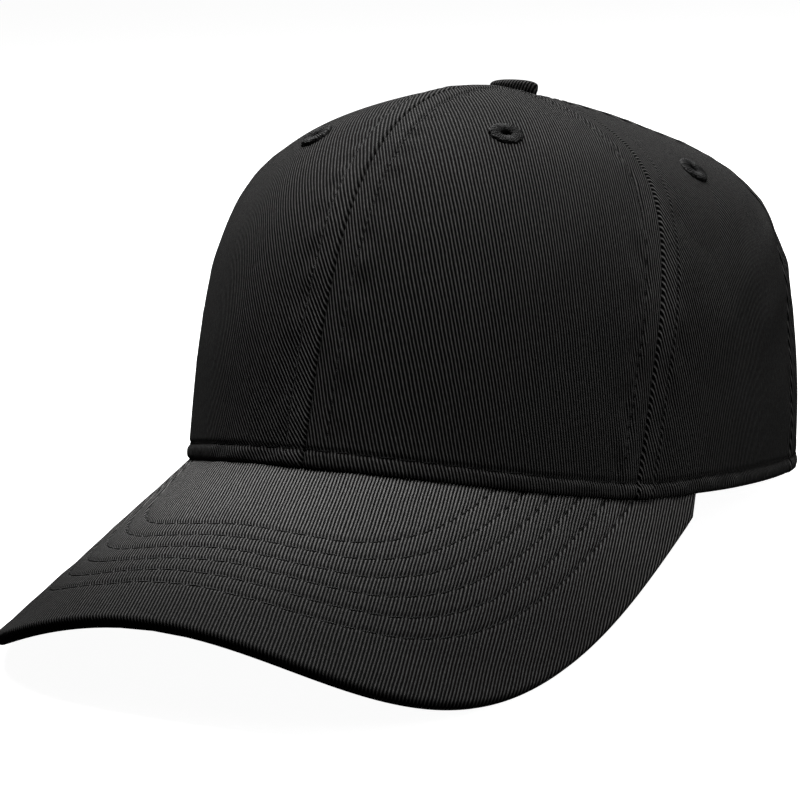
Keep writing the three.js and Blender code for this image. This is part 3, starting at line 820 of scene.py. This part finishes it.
def pile_material(name, value, scale, depth):
    """Hook or loop tape: a dense random pile."""
    material, n, shader = new_material(name)
    fuzz = n.noise(n.object_coordinates(), scale * 1.7, 3.0)
    pile = n.math("MULTIPLY", n.cells(scale), n.math("MULTIPLY_ADD", fuzz, 0.8, 0.6))
    color = n.mix(pile, grey(value * 0.3), grey(value * 1.8))
    n.surface(shader, color, n.bump(pile, depth), 0.75)
    shader.inputs["Sheen Weight"].default_value = 0.2
    return material


CROWN_TWILL = twill("crown_twill", 0.13, 0.68, 0.4)
# The visor's large third-channel gain paints its light near the crown.
VISOR_TWILL = twill("visor_twill", 0.22, 0.26, 1.05)
UNDER_TWILL = twill("visor_under_twill", 0.03, 1.0, 0.0)
STRAP_TWILL = twill("strap_twill", 0.06, 1.0, 0.3)
BAND_CLOTH = plain_weave("sweatband_cloth", grey(0.004), grey(0.024), 0.5, 0.08)
TAPE_CLOTH = plain_weave("seam_tape", grey(0.004), grey(0.02), 0.6)
BUCKRAM_CLOTH = plain_weave("buckram", (0.25, 0.24, 0.21, 1), (0.78, 0.76, 0.7, 1), 1.1, 0.0, 0.8)
LABEL_CLOTH = plain_weave("label", (0.55, 0.54, 0.5, 1), (0.82, 0.81, 0.77, 1), 0.25)
THREAD = thread_material("thread", 0.004)
EMBROIDERY = thread_material("embroidery_thread", 0.006)
FOAM_STUFF = foam_material()
METAL = metal_material()
BOARD_PLASTIC = plastic_material()
HOOK_STUFF = pile_material("hook_tape", 0.016, 1500, 0.0004)
LOOP_STUFF = pile_material("loop_tape", 0.02, 2200, 0.0003)


# ---------------------------------------------------------------- stitches


def stitch_row(line, normals, period, radius, slant, share=STITCH_SHARE):
    """Stitches along a polyline that lies on the cloth: each one arches over and dives in at both ends."""
    steps = np.linalg.norm(np.diff(line, axis=0), axis=1)
    length = np.concatenate([[0], np.cumsum(steps)])
    count = int(length[-1] // period)
    if count < 1:
        return np.zeros((0, STITCH_RINGS, STITCH_SIDES, 3)), np.zeros((0, STITCH_RINGS, STITCH_SIDES, 3))
    tau = np.linspace(0, 1, STITCH_RINGS)
    start = (np.arange(count) + (1 - share) / 2) * period + (length[-1] - count * period) / 2
    place = start[:, None] + tau * period * share

    def at(values):
        return np.stack([np.interp(place, length, values[:, k]) for k in range(3)], -1)

    tangents = unit(np.gradient(line, axis=0))
    sides = unit(np.cross(normals, tangents))
    centre, normal, side = at(line), unit(at(normals)), unit(at(sides))
    bow = radius * 0.6 - (radius * 0.6 + STITCH_SINK) * np.abs(2 * tau - 1) ** 6
    centre = centre + normal * bow[:, None] + side * (slant * (2 * tau - 1))[:, None]
    turn = np.arange(STITCH_SIDES) / STITCH_SIDES * 2 * math.pi
    offset = normal[:, :, None] * np.sin(turn)[:, None] + side[:, :, None] * np.cos(turn)[:, None]
    number = np.arange(count)[:, None, None] * 1.7  # shifts the thread's pattern from stitch to stitch
    weave = np.stack(np.broadcast_arrays(place[:, :, None], turn / (2 * math.pi), number), -1)
    return centre[:, :, None] + offset * radius, weave


def make_thread(name, rows, body="cap"):
    """One mesh for all the stitches of several rows."""
    points = np.concatenate([row for row, _ in rows])
    weave = np.concatenate([coordinates for _, coordinates in rows])
    index = np.arange(points.size // 3).reshape(points.shape[:3])
    turned = np.roll(index, -1, axis=2)
    sides = np.stack([index[:, :-1], turned[:, :-1], turned[:, 1:], index[:, 1:]], -1).reshape(-1, 4)
    # Each end is a hexagon of two quads.
    first, last = index[:, 0], index[:, -1]
    starts = [first[:, [0, 3, 2, 1]], first[:, [0, 5, 4, 3]]]
    ends = [last[:, [0, 1, 2, 3]], last[:, [0, 3, 4, 5]]]
    faces = np.concatenate([sides, *starts, *ends])
    make_piece(name, points.reshape(-1, 3), faces, THREAD, body, weave=weave.reshape(-1, 3))


def crown_row(azimuth, along, period, thread=CAP_THREAD):
    """Stitches on the crown's outer face."""
    line = crown_point(azimuth, along, crown_cloth(azimuth, along))
    return stitch_row(line, crown_normal(azimuth, along), period, *thread)


# ---------------------------------------------------------------- crown


def gore_places(start, end, back):
    """Azimuth and place along the meridian of a panel's grid, from one seam to the next."""
    columns = dense_ends(PANEL_COLUMNS, 0.86)
    rows = dense_start(PANEL_ROWS, 0.4)
    middle = SEAMS[start][0] + (SEAMS[end][0] - SEAMS[start][0]) * columns
    if back:
        low_azimuth, low = arch_border(start)
    else:
        low = along_at_height(middle, hem_clearance(middle))
    high = along_at_radius(middle, APEX_HOLE_RADIUS + 0 * middle)
    along = low + (high - low) * rows[:, None]
    if not back:
        first, last = seam_azimuth(start, along), seam_azimuth(end, along)
        width = mm_per_radian((first + last) / 2, along) * (last - first)
        return first + (last - first) * stitched_columns(width.mean(axis=1)), along
    first = seam_azimuth(start, along[:, :1])
    upright = low_azimuth + (middle - low_azimuth) * smoothstep(0, 0.8, rows[:, None])
    share = np.linspace(1, 0, len(columns)) ** 3
    return upright + (first - upright[:, :1]) * share, along


def stitched_columns(widths):
    """Shares across each row of a panel, closer together at its seams and at the stitches beside them."""
    fine = np.linspace(0, 1, 600)
    seam = np.minimum(fine, 1 - fine) * widths[:, None]
    near_row = dip(seam, np.minimum(SEAM_ROW, 0.4 * widths[:, None]), 1.0)
    amount = np.cumsum(1 + 5 * dip(seam, 0, 1.2) + 3.5 * near_row, axis=1)
    amount = (amount - amount[:, :1]) / (amount[:, -1:] - amount[:, :1])
    even = np.linspace(0, 1, PANEL_COLUMNS)
    return np.stack([np.interp(even, row, fine) for row in amount])


def arch_border(start):
    """Lower border of a back panel: the hem up to the cut-out's foot, then the cut-out's outline."""
    angle = np.linspace(0.02, math.pi / 2, PANEL_COLUMNS - HEM_COLUMNS)
    azimuth, along = back_place(*arch_point(angle, 0))
    first = seam_azimuth(start, 0.01)
    hem_azimuth = first + (azimuth[0] - first) * dense_ends(HEM_COLUMNS + 1, 0.8)[:-1]
    hem_along = along_at_height(hem_azimuth, hem_clearance(hem_azimuth))
    return np.concatenate([hem_azimuth, azimuth]), np.concatenate([hem_along, along])


def meridian_length(azimuth, along):
    """Arc length from the rim along a meridian."""
    places = np.linspace(0, 1, 200)
    line = crown_surface(azimuth + 0 * places, places)
    length = np.concatenate([[0], np.cumsum(np.linalg.norm(np.diff(line, axis=0), axis=1))])
    return np.interp(along, places, length)


def make_panel(name, start, end, side):
    """One gore of the crown between two seams, with its eyelet's hole."""
    panel = f"{name}_{'left' if side > 0 else 'right'}"
    azimuth, along = gore_places(start, end, name == "back")
    azimuth = side * azimuth
    lift = crown_cloth(azimuth, along)
    outer = crown_point(azimuth, along, lift)
    inner = crown_point(azimuth, along, PANEL_INSIDE - 0.05)
    middle = side * (SEAMS[start][0] + SEAMS[end][0]) / 2
    x = mm_per_radian(azimuth, along) * (azimuth - middle)
    y = meridian_length(middle, along)
    wear_and_light = np.clip(lift - 0.25, 0, 1)
    weave = weave_map(x, y, RIB_LEAN[panel], wear_and_light)
    degrees, place = EYELET_PLACES[panel]
    centre = crown_surface(degrees * RAD, place)
    middles = (outer[:-1, :-1] + outer[1:, 1:]) / 2
    hole = np.linalg.norm(middles - centre, axis=-1) < PANEL_HOLE_RADIUS
    node = f"panel_{panel}"
    make_sheet(f"crown_{panel}", outer, inner, CROWN_TWILL, node, weave=weave, removed=hole)


def make_crown():
    """Three panels on each side, each named after the place that it covers."""
    seams = list(SEAMS)
    for name, start, end in zip(("front", "side", "back"), seams, seams[1:]):
        for side in (1, -1):
            make_panel(name, start, end, side)


def make_crown_stitches():
    """Double rows beside the seams, the hem's row, and the row round the rear cut-out."""
    rows = []
    for seam in SEAMS:
        sides = (1, -1) if seam in ("front_side", "side_back") else (1,)
        rows += [seam_row(seam, side, hand) for side in sides for hand in (1, -1)]
    foot, _ = back_place(ARCH_HALF_WIDTH, HEM_BAND)
    azimuth = np.linspace(-foot, foot, 900)
    along = along_at_height(azimuth, hem_clearance(azimuth) + HEM_BAND)
    rows.append(crown_row(azimuth, along, HEM_STITCH, HEM_THREAD))
    angle = np.linspace(0.12, math.pi - 0.12, 300)
    rows.append(crown_row(*back_place(*arch_point(angle, ARCH_ROW)), ARCH_STITCH))
    make_thread("crown_stitching", rows)


def seam_row(seam, side, hand):
    """Top stitching on one hand of a seam, from the hem or the cut-out to the button."""
    low = 0.04
    if seam == "back":
        low = back_place(0, ARCH_HEIGHT + 1)[1]
    high = along_at_radius(SEAMS[seam][0], BUTTON_RADIUS + 1.5)
    along = np.linspace(low, high, 400)
    azimuth = side * seam_azimuth(seam, along)
    points = crown_surface(azimuth, along)
    radius = np.hypot(points[:, 0], points[:, 1] - APEX_Y)
    offset = np.minimum(SEAM_ROW, ROW_LIMIT * radius)
    return crown_row(azimuth + hand * offset / mm_per_radian(azimuth, along), along, SEAM_STITCH)


# ---------------------------------------------------------------- eyelets


def make_eyelet(panel, degrees, place):
    """A ring of embroidered stitches laid side by side round a small hole."""
    azimuth, along = np.array(degrees * RAD), np.array(place)
    lift = float(crown_cloth(azimuth[None], along[None])[0])
    normal = crown_normal(azimuth, along)
    centre = crown_surface(azimuth, along) + normal * lift
    right = unit(np.cross([0, 0, 1], normal))
    up = np.cross(normal, right)
    draw = np.random.default_rng(int(abs(degrees)) + (7 if degrees < 0 else 0))
    threads, per_thread, section = 34, 6, 22
    turn = np.arange(threads * per_thread) / (threads * per_thread) * 2 * math.pi
    which = np.arange(threads * per_thread) // per_thread
    ridge = np.abs(np.sin(turn * threads / 2)) ** 0.7
    reach = draw.uniform(-0.28, 0.28, threads)[which]
    height = draw.uniform(-0.12, 0.12, threads)[which]
    t = np.arange(section) / section * 2 * math.pi
    middle = (EYELET_RADIUS + EYELET_HOLE_RADIUS) / 2
    half = (EYELET_RADIUS - EYELET_HOLE_RADIUS) / 2
    spread = np.sign(np.cos(t)) * np.abs(np.cos(t)) ** 0.8
    radial = middle + spread[:, None] * (half + np.where(spread[:, None] > 0, reach, 0) * 0.8)
    rise = np.sin(t)[:, None]
    level = np.where(rise > 0, rise * (0.75 + 0.28 * ridge + height), rise * 2.2) + 0.1
    points = (
        centre
        + (radial * np.cos(turn))[..., None] * right
        + (radial * np.sin(turn))[..., None] * up
        + level[..., None] * normal
    )
    weave = np.stack([radial, 0 * radial + which / 3, 0 * radial + which * 2.3], -1)
    points, faces = ring_grid(points)
    make_piece(
        f"embroidered_eyelet_{panel}",
        points,
        faces,
        EMBROIDERY,
        stands_for=[f"eyelet_{panel}"],
        weave=weave.reshape(-1, 3),
    )


# ---------------------------------------------------------------- visor


def visor_grid(inset_edge, columns, rows):
    """Flat places of the visor from under the rim to a line just inside its outline."""
    span = VISOR_END + VISOR_END_MARGIN
    corner_w = visor_under_rim(np.array(span), VISOR_TUCK)[1]
    reach = solve(lambda a: -visor_outline(a, inset_edge)[1], np.array(-corner_w), 0, math.pi / 2)
    side = np.linspace(-1, 1, columns)
    u0, w0 = visor_under_rim(side * span, VISOR_TUCK)
    u1, w1 = tapered_outline(side * reach, inset_edge)
    v = np.linspace(0, 1, rows)[:, None]
    return u0 + (u1 - u0) * v, w0 + (w1 - w0) * v, side * reach


def visor_edge(angle, face, turn):
    """Rows that carry a cover round the visor's edge, from its face to the seam at mid-thickness."""
    inset = EDGE_ROUNDING * (1 - np.sin(turn))[:, None] + 0 * angle
    u, w = tapered_outline(angle[None], inset)
    corner = face + np.sign(VISOR_MIDDLE - face) * EDGE_ROUNDING * (1 - np.cos(turn))
    return u, w, corner[:, None] + 0 * angle


def visor_cover(name, face, material, node, columns, rows):
    """A cover: its face, the rounded edge and the turned-in seam, with cloth thickness."""
    u, w, angle = visor_grid(EDGE_ROUNDING, columns, rows)
    up = outwards(face)
    texture = visor_cloth(u, w) * up
    fade = np.linspace(0, 1, rows)[:, None]
    lift = face + texture * (1 - smoothstep(0.93, 1.0, fade))
    turn = np.linspace(0.25, math.pi / 2, 6)
    edge_u, edge_w, edge_lift = visor_edge(angle, face, turn)
    side_u, side_w = tapered_outline(angle[None], np.array([[0.0], [0.02], [0.25]]))
    side_lift = VISOR_MIDDLE + up * np.array([[0.5], [0.12], [0.03]]) + 0 * angle
    u, w = np.concatenate([u, edge_u, side_u]), np.concatenate([w, edge_w, side_w])
    lift = np.concatenate([lift, edge_lift, side_lift])
    outer = visor_point(u, w, lift)
    shrink = 1 - VISOR_CLOTH / VISOR_HALF_WIDTH
    pulled_w = (w + VISOR_CENTRE_BACK) * shrink - VISOR_CENTRE_BACK
    at_face = np.abs(lift - face) < EDGE_ROUNDING
    inner_lift = np.where(at_face, lift - up * VISOR_CLOTH, VISOR_MIDDLE + up * 0.35)
    inner_lift = VISOR_MIDDLE + up * np.minimum(np.abs(inner_lift - VISOR_MIDDLE), 1.15)
    inner = visor_point(u * shrink, pulled_w, inner_lift)
    ahead = np.clip((w - visor_rim_w(u)) / PAINTED_LIGHT_LENGTH, 0, 1)
    # Painted light: the visor's top is painted paler near the crown and on the wearer's right, darkening
    # towards the tip.
    painted_light = (1 - ahead) ** 1.5 * (1 - 0.6 * smoothstep(0, 70, u))
    weave = weave_map(u, visor_run(outer, u, w), VISOR_RIB_LEAN, painted_light)
    make_sheet(name, outer, inner, material, node, weave=weave)


def visor_run(outer, u, w):
    """The cloth's forward coordinate, which keeps growing where the cover turns down over the edge."""
    steps = np.linalg.norm(np.diff(outer, axis=0), axis=-1)
    flat = np.hypot(np.diff(u, axis=0), np.diff(w, axis=0))
    extra = np.concatenate([np.zeros((1, u.shape[1])), np.cumsum(np.maximum(steps - flat, 0), axis=0)])
    return w + extra


def visor_stitch_rows(face):
    """The visor's stitch rows on one of its faces, up to where the crown covers them."""
    up = outwards(face)
    radius, slant = VISOR_THREAD
    rows = []
    for index in range(VISOR_ROWS):
        angle = np.linspace(-math.pi / 2, math.pi / 2, 2400)
        u, w = row_outline(angle, row_inset(index))
        shown = w > visor_rim_w(u) - 1.0
        u, w = u[shown], w[shown]
        lift = face + visor_cloth(u, w) * up
        line = visor_point(u, w, lift)
        step = 0.05
        across = visor_point(u + step, w, lift) - line
        forward = visor_point(u, w + step, lift) - line
        normals = unit(np.cross(forward, across)) * up
        rows.append(stitch_row(line, normals, VISOR_STITCH, radius, slant * up, VISOR_STITCH_SHARE))
    return rows


def make_visor():
    visor_cover("visor_upper", VISOR_TOP, VISOR_TWILL, "visor_top_cover", 331, 140)
    visor_cover("visor_lower", VISOR_BOTTOM, UNDER_TWILL, "visor_under_cover", 181, 60)
    make_thread("visor_top_stitching", visor_stitch_rows(VISOR_TOP))
    make_thread("visor_under_stitching", visor_stitch_rows(VISOR_BOTTOM))


# ---------------------------------------------------------------- button


def make_button():
    """Cloth drawn over a low dome, with small pleats gathered round its rim."""
    pleats, per_pleat = 30, 6
    turn = np.arange(pleats * per_pleat) / (pleats * per_pleat) * 2 * math.pi
    arc = np.linspace(0, math.pi / 2 - 0.001, 16)
    outer_r = BUTTON_RADIUS * np.cos(arc) ** 0.6
    outer_z = BUTTON_SIDE + (BUTTON_HEIGHT - BUTTON_SIDE) * np.sin(arc) ** 0.8
    under_r = np.array([0.05, 0.5, 1.2, 2.8, 2.8, 1.1, 1.1])
    under_z = np.array([0.3, -1.2, -1.6, -1.6, -1.1, -1.0, BUTTON_SIDE])
    inner_r = (BUTTON_RADIUS - BUTTON_CLOTH) * np.cos(arc) ** 0.6
    inner_z = BUTTON_SIDE + (BUTTON_HEIGHT - BUTTON_CLOTH - BUTTON_SIDE) * np.sin(arc) ** 0.8
    radius = np.concatenate([outer_r[::-1], BUTTON_RADIUS - under_r, inner_r])
    height = np.concatenate([outer_z[::-1], under_z, inner_z])
    draw = np.random.default_rng(5)
    depth = draw.uniform(0.6, 1.3, pleats)[np.arange(len(turn)) // per_pleat]
    wave = (np.abs(np.sin(turn * pleats / 2)) ** 0.8 - 0.6) * depth
    outside = (np.arange(len(radius)) < len(outer_r) + 3)[:, None]
    strength = 0.26 * np.clip(radius / BUTTON_RADIUS, 0, 1)[:, None] ** 5 * outside
    r = (radius[:, None] + wave * strength) * BUTTON_PULL
    z = height[:, None] + 0 * turn
    points = np.stack([r * np.cos(turn), r * np.sin(turn) + APEX_Y, z + CROWN_HEIGHT - BUTTON_SINK], -1)
    run = r * np.sin(turn) + 2 * (BUTTON_HEIGHT - z)
    weave = weave_map(r * np.cos(turn), run, RIB_LEAN["front_left"])
    points, faces = ring_grid(points)
    between_ends = faces.max(axis=1) - faces.min(axis=1) < 2 * len(turn)
    make_piece(
        "button_cloth",
        points,
        faces[between_ends],
        CROWN_TWILL,
        stands_for=["button_cover"],
        weave=weave,
    )


# ---------------------------------------------------------------- inside of the cap


def band_piece(name, layer, bottom, top, material, slot, node, puff=0.0):
    """A band round the inside of the rim, from one corner of the rear cut-out to the other."""
    end, _ = back_place(ARCH_HALF_WIDTH + 2, bottom)
    azimuth = np.linspace(-end, end, BAND_COLUMNS) + np.zeros((BAND_ROWS, 1))
    share = np.linspace(0, 1, BAND_ROWS)[:, None] + 0 * azimuth
    along = along_at_height(azimuth, bottom + (top - bottom) * share)
    swell = np.sin(math.pi * share) ** 0.6
    surface = crown_surface(azimuth, along)
    ripple = ripples(surface, 9, 61) * 0.1 * swell + ripples(surface, 30, 62) * 0.12 * swell
    outer = crown_point(azimuth, along, layer[0])
    inner = crown_point(azimuth, along, layer[1] - puff * swell + ripple * (1 if puff else 0))
    x = mm_per_radian(azimuth, along) * azimuth
    weave = weave_map(x, share * (top - bottom), 0)
    return make_sheet(name, outer, inner, material, node, weave=weave)


def inner_row(azimuth, along, lift, period):
    """Stitches on an inward face."""
    line = crown_point(azimuth, along, lift)
    return stitch_row(line, -crown_normal(azimuth, along), period, *INNER_THREAD)


def make_sweatband():
    foam = band_piece("sweatband_foam_strip", FOAM, *FOAM_SPAN, FOAM_STUFF, "foam", "sweatband_foam")
    band = band_piece(
        "sweatband_cloth", SWEATBAND, *SWEATBAND_SPAN, BAND_CLOTH, "sweatband_cloth", "sweatband", 0.5
    )
    end, _ = back_place(ARCH_HALF_WIDTH + 3, 4)
    azimuth = np.linspace(-end, end, 900)
    rows = [
        inner_row(azimuth, along_at_height(azimuth, height + 0 * azimuth), SWEATBAND[1] - 0.3, 3.4)
        for height in (SWEATBAND_SPAN[0] + 2.4, SWEATBAND_SPAN[1] - 3.0)
    ]
    make_thread("sweatband_stitching", rows)


def tape_piece(name, seam, side, layer, bottom):
    """Cloth tape over a seam inside the crown."""
    low = along_at_height(side * seam_azimuth(seam, 0), bottom)
    high = along_at_radius(SEAMS[seam][0], TAPE_TOP_RADIUS)
    along = np.linspace(low, high, 90)[:, None] + np.zeros((1, 9))
    azimuth = side * seam_azimuth(seam, along)
    points = crown_surface(azimuth, along)
    radius = np.hypot(points[..., 0], points[..., 1] - APEX_Y)
    width = np.minimum(TAPE_WIDTH, radius * TAPE_NARROWING)
    place = azimuth + np.linspace(-0.5, 0.5, 9) * width / radius
    outer = crown_point(place, along, layer[0])
    inner = crown_point(place, along, layer[1] + 0.08 * ripples(points, 12, 71))
    make_sheet(f"{name}_cloth", outer, inner, TAPE_CLOTH, name)
    rows = []
    for hand in (1, -1):
        line = along[:, 4]
        offset = hand * np.minimum(SEAM_ROW - 0.4, 0.36 * radius[:, 4]) / mm_per_radian(azimuth[:, 4], line)
        rows.append(inner_row(azimuth[:, 4] + offset, line, layer[1], SEAM_STITCH))
    return rows


def make_seam_tapes():
    rows = tape_piece("seam_tape_front", "front", 1, TAPE_OVER_BUCKRAM, TAPE_BOTTOM)
    rows += tape_piece("seam_tape_back", "back", 1, TAPE_OVER_PANEL, ARCH_HEIGHT + ARCH_BINDING_WIDTH + 2)
    for hand, side in (("left", 1), ("right", -1)):
        front = f"seam_tape_front_side_{hand}"
        rows += tape_piece(front, "front_side", side, TAPE_OVER_BUCKRAM, TAPE_BOTTOM)
        rows += tape_piece(f"seam_tape_side_back_{hand}", "side_back", side, TAPE_OVER_PANEL, TAPE_BOTTOM)
    make_thread("seam_tape_stitching", rows)


def make_binding():
    """Tape that binds the rear cut-out's edge on the inside."""
    angle = np.linspace(0, math.pi, 121) + np.zeros((7, 1))
    grow = 0.4 + ARCH_BINDING_WIDTH * np.linspace(0, 1, 7)[:, None] + 0 * angle
    x, height = arch_point(angle, grow)
    azimuth, along = back_place(x, np.maximum(height, HEM_OVER_RIM))
    outer = crown_point(azimuth, along, TAPE_OVER_PANEL[0])
    inner = crown_point(azimuth, along, TAPE_OVER_PANEL[1] + 0.06 * ripples(outer, 9, 81))
    make_sheet("arch_binding_tape", outer, inner, TAPE_CLOTH, "arch_binding")
    line = np.linspace(0.15, math.pi - 0.15, 300)
    place = back_place(*arch_point(line, ARCH_ROW))
    make_thread("arch_binding_stitching", [inner_row(*place, TAPE_OVER_PANEL[1], ARCH_STITCH)])


# ---------------------------------------------------------------- closure


def strap_azimuth(x):
    return back_place(x, STRAP_BOTTOM)[0]


def strip_places(from_x, to_x, bottom, height, grid, rounded):
    """Places of a strip across the cut-out, with its free end's corners rounded."""
    start, end = strap_azimuth(from_x), strap_azimuth(to_x)
    columns, rows = grid
    u = np.linspace(0, 1, columns) + np.zeros((rows, 1))
    v = np.linspace(0, 1, rows)[:, None] + 0 * u
    length = abs(to_x - from_x)
    short = rounded * (np.abs(2 * v - 1) ** 4) / length
    u = u * (1 - short)
    azimuth = start + (end - start) * u
    return azimuth, along_at_height(azimuth, bottom + height * v), u * length, v * height


def strap_piece(name, layer, from_x, to_x, node, seed):
    """A strap of doubled twill, thinner at its stitched edges."""
    azimuth, along, x, y = strip_places(from_x, to_x, STRAP_BOTTOM, STRAP_HEIGHT, STRAP_GRID, 3.0)
    edge = np.minimum.reduce([y, STRAP_HEIGHT - y, abs(to_x - from_x) - x])
    quilt = -0.12 * dip(edge, STRAP_STITCH_INSET, 0.5) - 0.3 * np.clip(1 - edge / 0.8, 0, 1) ** 2
    wavy = 0.07 * ripples(crown_surface(azimuth, along), 13, seed)
    outer = crown_point(azimuth, along, layer[0] + quilt + wavy)
    inner = crown_point(azimuth, along, layer[1] - quilt * 0.6 + wavy * 0.5)
    weave = weave_map(x, y, STRAP_RIB_LEAN, np.clip(1 - edge / 1.2, 0, 1) * 0.5)
    make_sheet(name, outer, inner, STRAP_TWILL, node, node, weave)


def tape_patch(name, layer, from_x, to_x, material, node, body):
    """Hook or loop tape on a strap, with a rough pile."""
    bottom, height = STRAP_BOTTOM + STRAP_MARGIN, STRAP_HEIGHT - 2 * STRAP_MARGIN
    azimuth, along, _, _ = strip_places(from_x, to_x, bottom, height, PATCH_GRID, 2.0)
    rough = ripples(crown_surface(azimuth, along), 2.6, 91) * 0.05
    outer = crown_point(azimuth, along, layer[0] + rough)
    inner = crown_point(azimuth, along, layer[1] + rough)
    make_sheet(name, outer, inner, material, node, body)


def strap_stitches(name, layer, from_x, to_x, body):
    """A row along both edges of a strap and across its free end."""
    last = to_x - np.sign(to_x - from_x) * (STRAP_STITCH_INSET + 1)
    low = STRAP_BOTTOM + STRAP_STITCH_INSET
    high = STRAP_BOTTOM + STRAP_HEIGHT - STRAP_STITCH_INSET
    across, up = np.linspace(from_x, last, 160), np.linspace(low, high, 50)
    xs = np.concatenate([across, 0 * up + last, across[::-1]])
    heights = np.concatenate([0 * across + low, up, 0 * across + high])
    start, end = strap_azimuth(from_x), strap_azimuth(to_x)
    azimuth = start + (end - start) * (xs - from_x) / (to_x - from_x)
    along = along_at_height(azimuth, heights)
    line = crown_point(azimuth, along, layer[0] - 0.1)
    row = stitch_row(line, crown_normal(azimuth, along), STRAP_STITCH, *CAP_THREAD)
    make_thread(name, [row], body=body)


def make_closure():
    root = STRAP_ROOT_X
    outer, inner = (root, OUTER_STRAP_TIP_X), (-root, INNER_STRAP_TIP_X)
    strap_piece("closure_strap_outer", OUTER_STRAP, *outer, "outer_strap", 101)
    strap_piece("closure_strap_inner", INNER_STRAP, *inner, "inner_strap", 102)
    tape_patch("hook_tape_patch", HOOK_TAPE, *HOOK_TAPE_X, HOOK_STUFF, "hook_tape", "outer_strap")
    tape_patch("loop_tape_patch", LOOP_TAPE, *LOOP_TAPE_X, LOOP_STUFF, "loop_tape", "inner_strap")
    strap_stitches("closure_strap_outer_stitching", OUTER_STRAP, root - 2, outer[1], "outer_strap")
    strap_stitches("closure_strap_inner_stitching", INNER_STRAP, 2 - root, inner[1], "inner_strap")


# ---------------------------------------------------------------- CAD nodes that stay


def dress_cad_nodes():
    """Materials for the CAD's own solids that stay in view or inside."""
    kept = {
        "buckram_front_left": BUCKRAM_CLOTH,
        "buckram_front_right": BUCKRAM_CLOTH,
        "care_label": LABEL_CLOTH,
        "button_dome": METAL,
        "button_back_plate": METAL,
        "visor_board": BOARD_PLASTIC,
    }
    for name, material in kept.items():
        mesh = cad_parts[name].data
        mesh.materials.clear()
        mesh.materials.append(material)


# ---------------------------------------------------------------- studio


def area_light(name, place, size, power):
    data = bpy.data.lights.new(name, "AREA")
    data.shape = "RECTANGLE"
    data.size, data.size_y = size
    data.energy = power
    light = bpy.data.objects.new(name, data)
    bpy.context.scene.collection.objects.link(light)
    light.location = place
    direction = Vector(LIGHT_TARGET) - Vector(place)
    light.rotation_euler = direction.to_track_quat("-Z", "Y").to_euler()


def make_floor():
    """A pale floor that throws no light back on the cap."""
    material, _, shader = new_material("studio_floor")
    shader.inputs["Base Color"].default_value = (0.6, 0.6, 0.6, 1)
    shader.inputs["Emission Color"].default_value = (1, 1, 1, 1)
    shader.inputs["Emission Strength"].default_value = FLOOR_GLOW
    shader.inputs["Roughness"].default_value = 0.9
    shader.inputs["Specular IOR Level"].default_value = 0.1
    half = FLOOR_HALF_WIDTH
    corners = [(-half, -half, 0), (half, -half, 0), (half, half, 0), (-half, half, 0)]
    mesh = bpy.data.meshes.new("studio_floor")
    mesh.from_pydata(corners, [], [(0, 1, 2, 3)])
    mesh.materials.append(material)
    floor = bpy.data.objects.new("studio_floor", mesh)
    bpy.context.scene.collection.objects.link(floor)
    floor.visible_diffuse = False
    floor.visible_glossy = False


def make_world():
    """A white backdrop that lights the cap only softly."""
    world = bpy.data.worlds.new("studio")
    bpy.context.scene.world = world
    world.use_nodes = True
    tree = world.node_tree
    backdrop = tree.nodes["Background"]
    backdrop.inputs["Color"].default_value = (1, 1, 1, 1)
    ambient = tree.nodes.new("ShaderNodeBackground")
    ambient.inputs["Color"].default_value = (1, 1, 1, 1)
    ambient.inputs["Strength"].default_value = AMBIENT
    seen = tree.nodes.new("ShaderNodeLightPath")
    mix = tree.nodes.new("ShaderNodeMixShader")
    tree.links.new(seen.outputs["Is Camera Ray"], mix.inputs[0])
    tree.links.new(ambient.outputs[0], mix.inputs[1])
    tree.links.new(backdrop.outputs[0], mix.inputs[2])
    tree.links.new(mix.outputs[0], tree.nodes["World Output"].inputs["Surface"])


def make_camera():
    a, e, roll = CAMERA_AZIMUTH, CAMERA_ELEVATION, CAMERA_ROLL
    back = Vector((math.sin(a) * math.cos(e), -math.cos(a) * math.cos(e), math.sin(e)))
    right = Vector((math.cos(a), math.sin(a), 0))
    up = back.cross(right)
    rolled_right = right * math.cos(roll) + up * math.sin(roll)
    rolled_up = up * math.cos(roll) - right * math.sin(roll)
    matrix = Matrix((rolled_right, rolled_up, back)).transposed().to_4x4()
    matrix.translation = Vector(CAMERA_TARGET) + back * CAMERA_DISTANCE
    data = bpy.data.cameras.new("camera")
    data.lens = CAMERA_LENS
    data.sensor_width = 36
    camera = bpy.data.objects.new("camera", data)
    bpy.context.scene.collection.objects.link(camera)
    camera.matrix_world = matrix
    bpy.context.scene.camera = camera


make_crown()
make_crown_stitches()
for panel_name, (eyelet_degrees, eyelet_place) in EYELET_PLACES.items():
    make_eyelet(panel_name, eyelet_degrees, eyelet_place)
make_visor()
make_button()
make_sweatband()
make_seam_tapes()
make_binding()
make_closure()
dress_cad_nodes()
make_floor()
make_world()
for light_name, (light_place, light_size, light_power) in LIGHTS.items():
    area_light(light_name, light_place, light_size, light_power)
make_camera()
bpy.context.scene.view_settings.view_transform = "Standard"
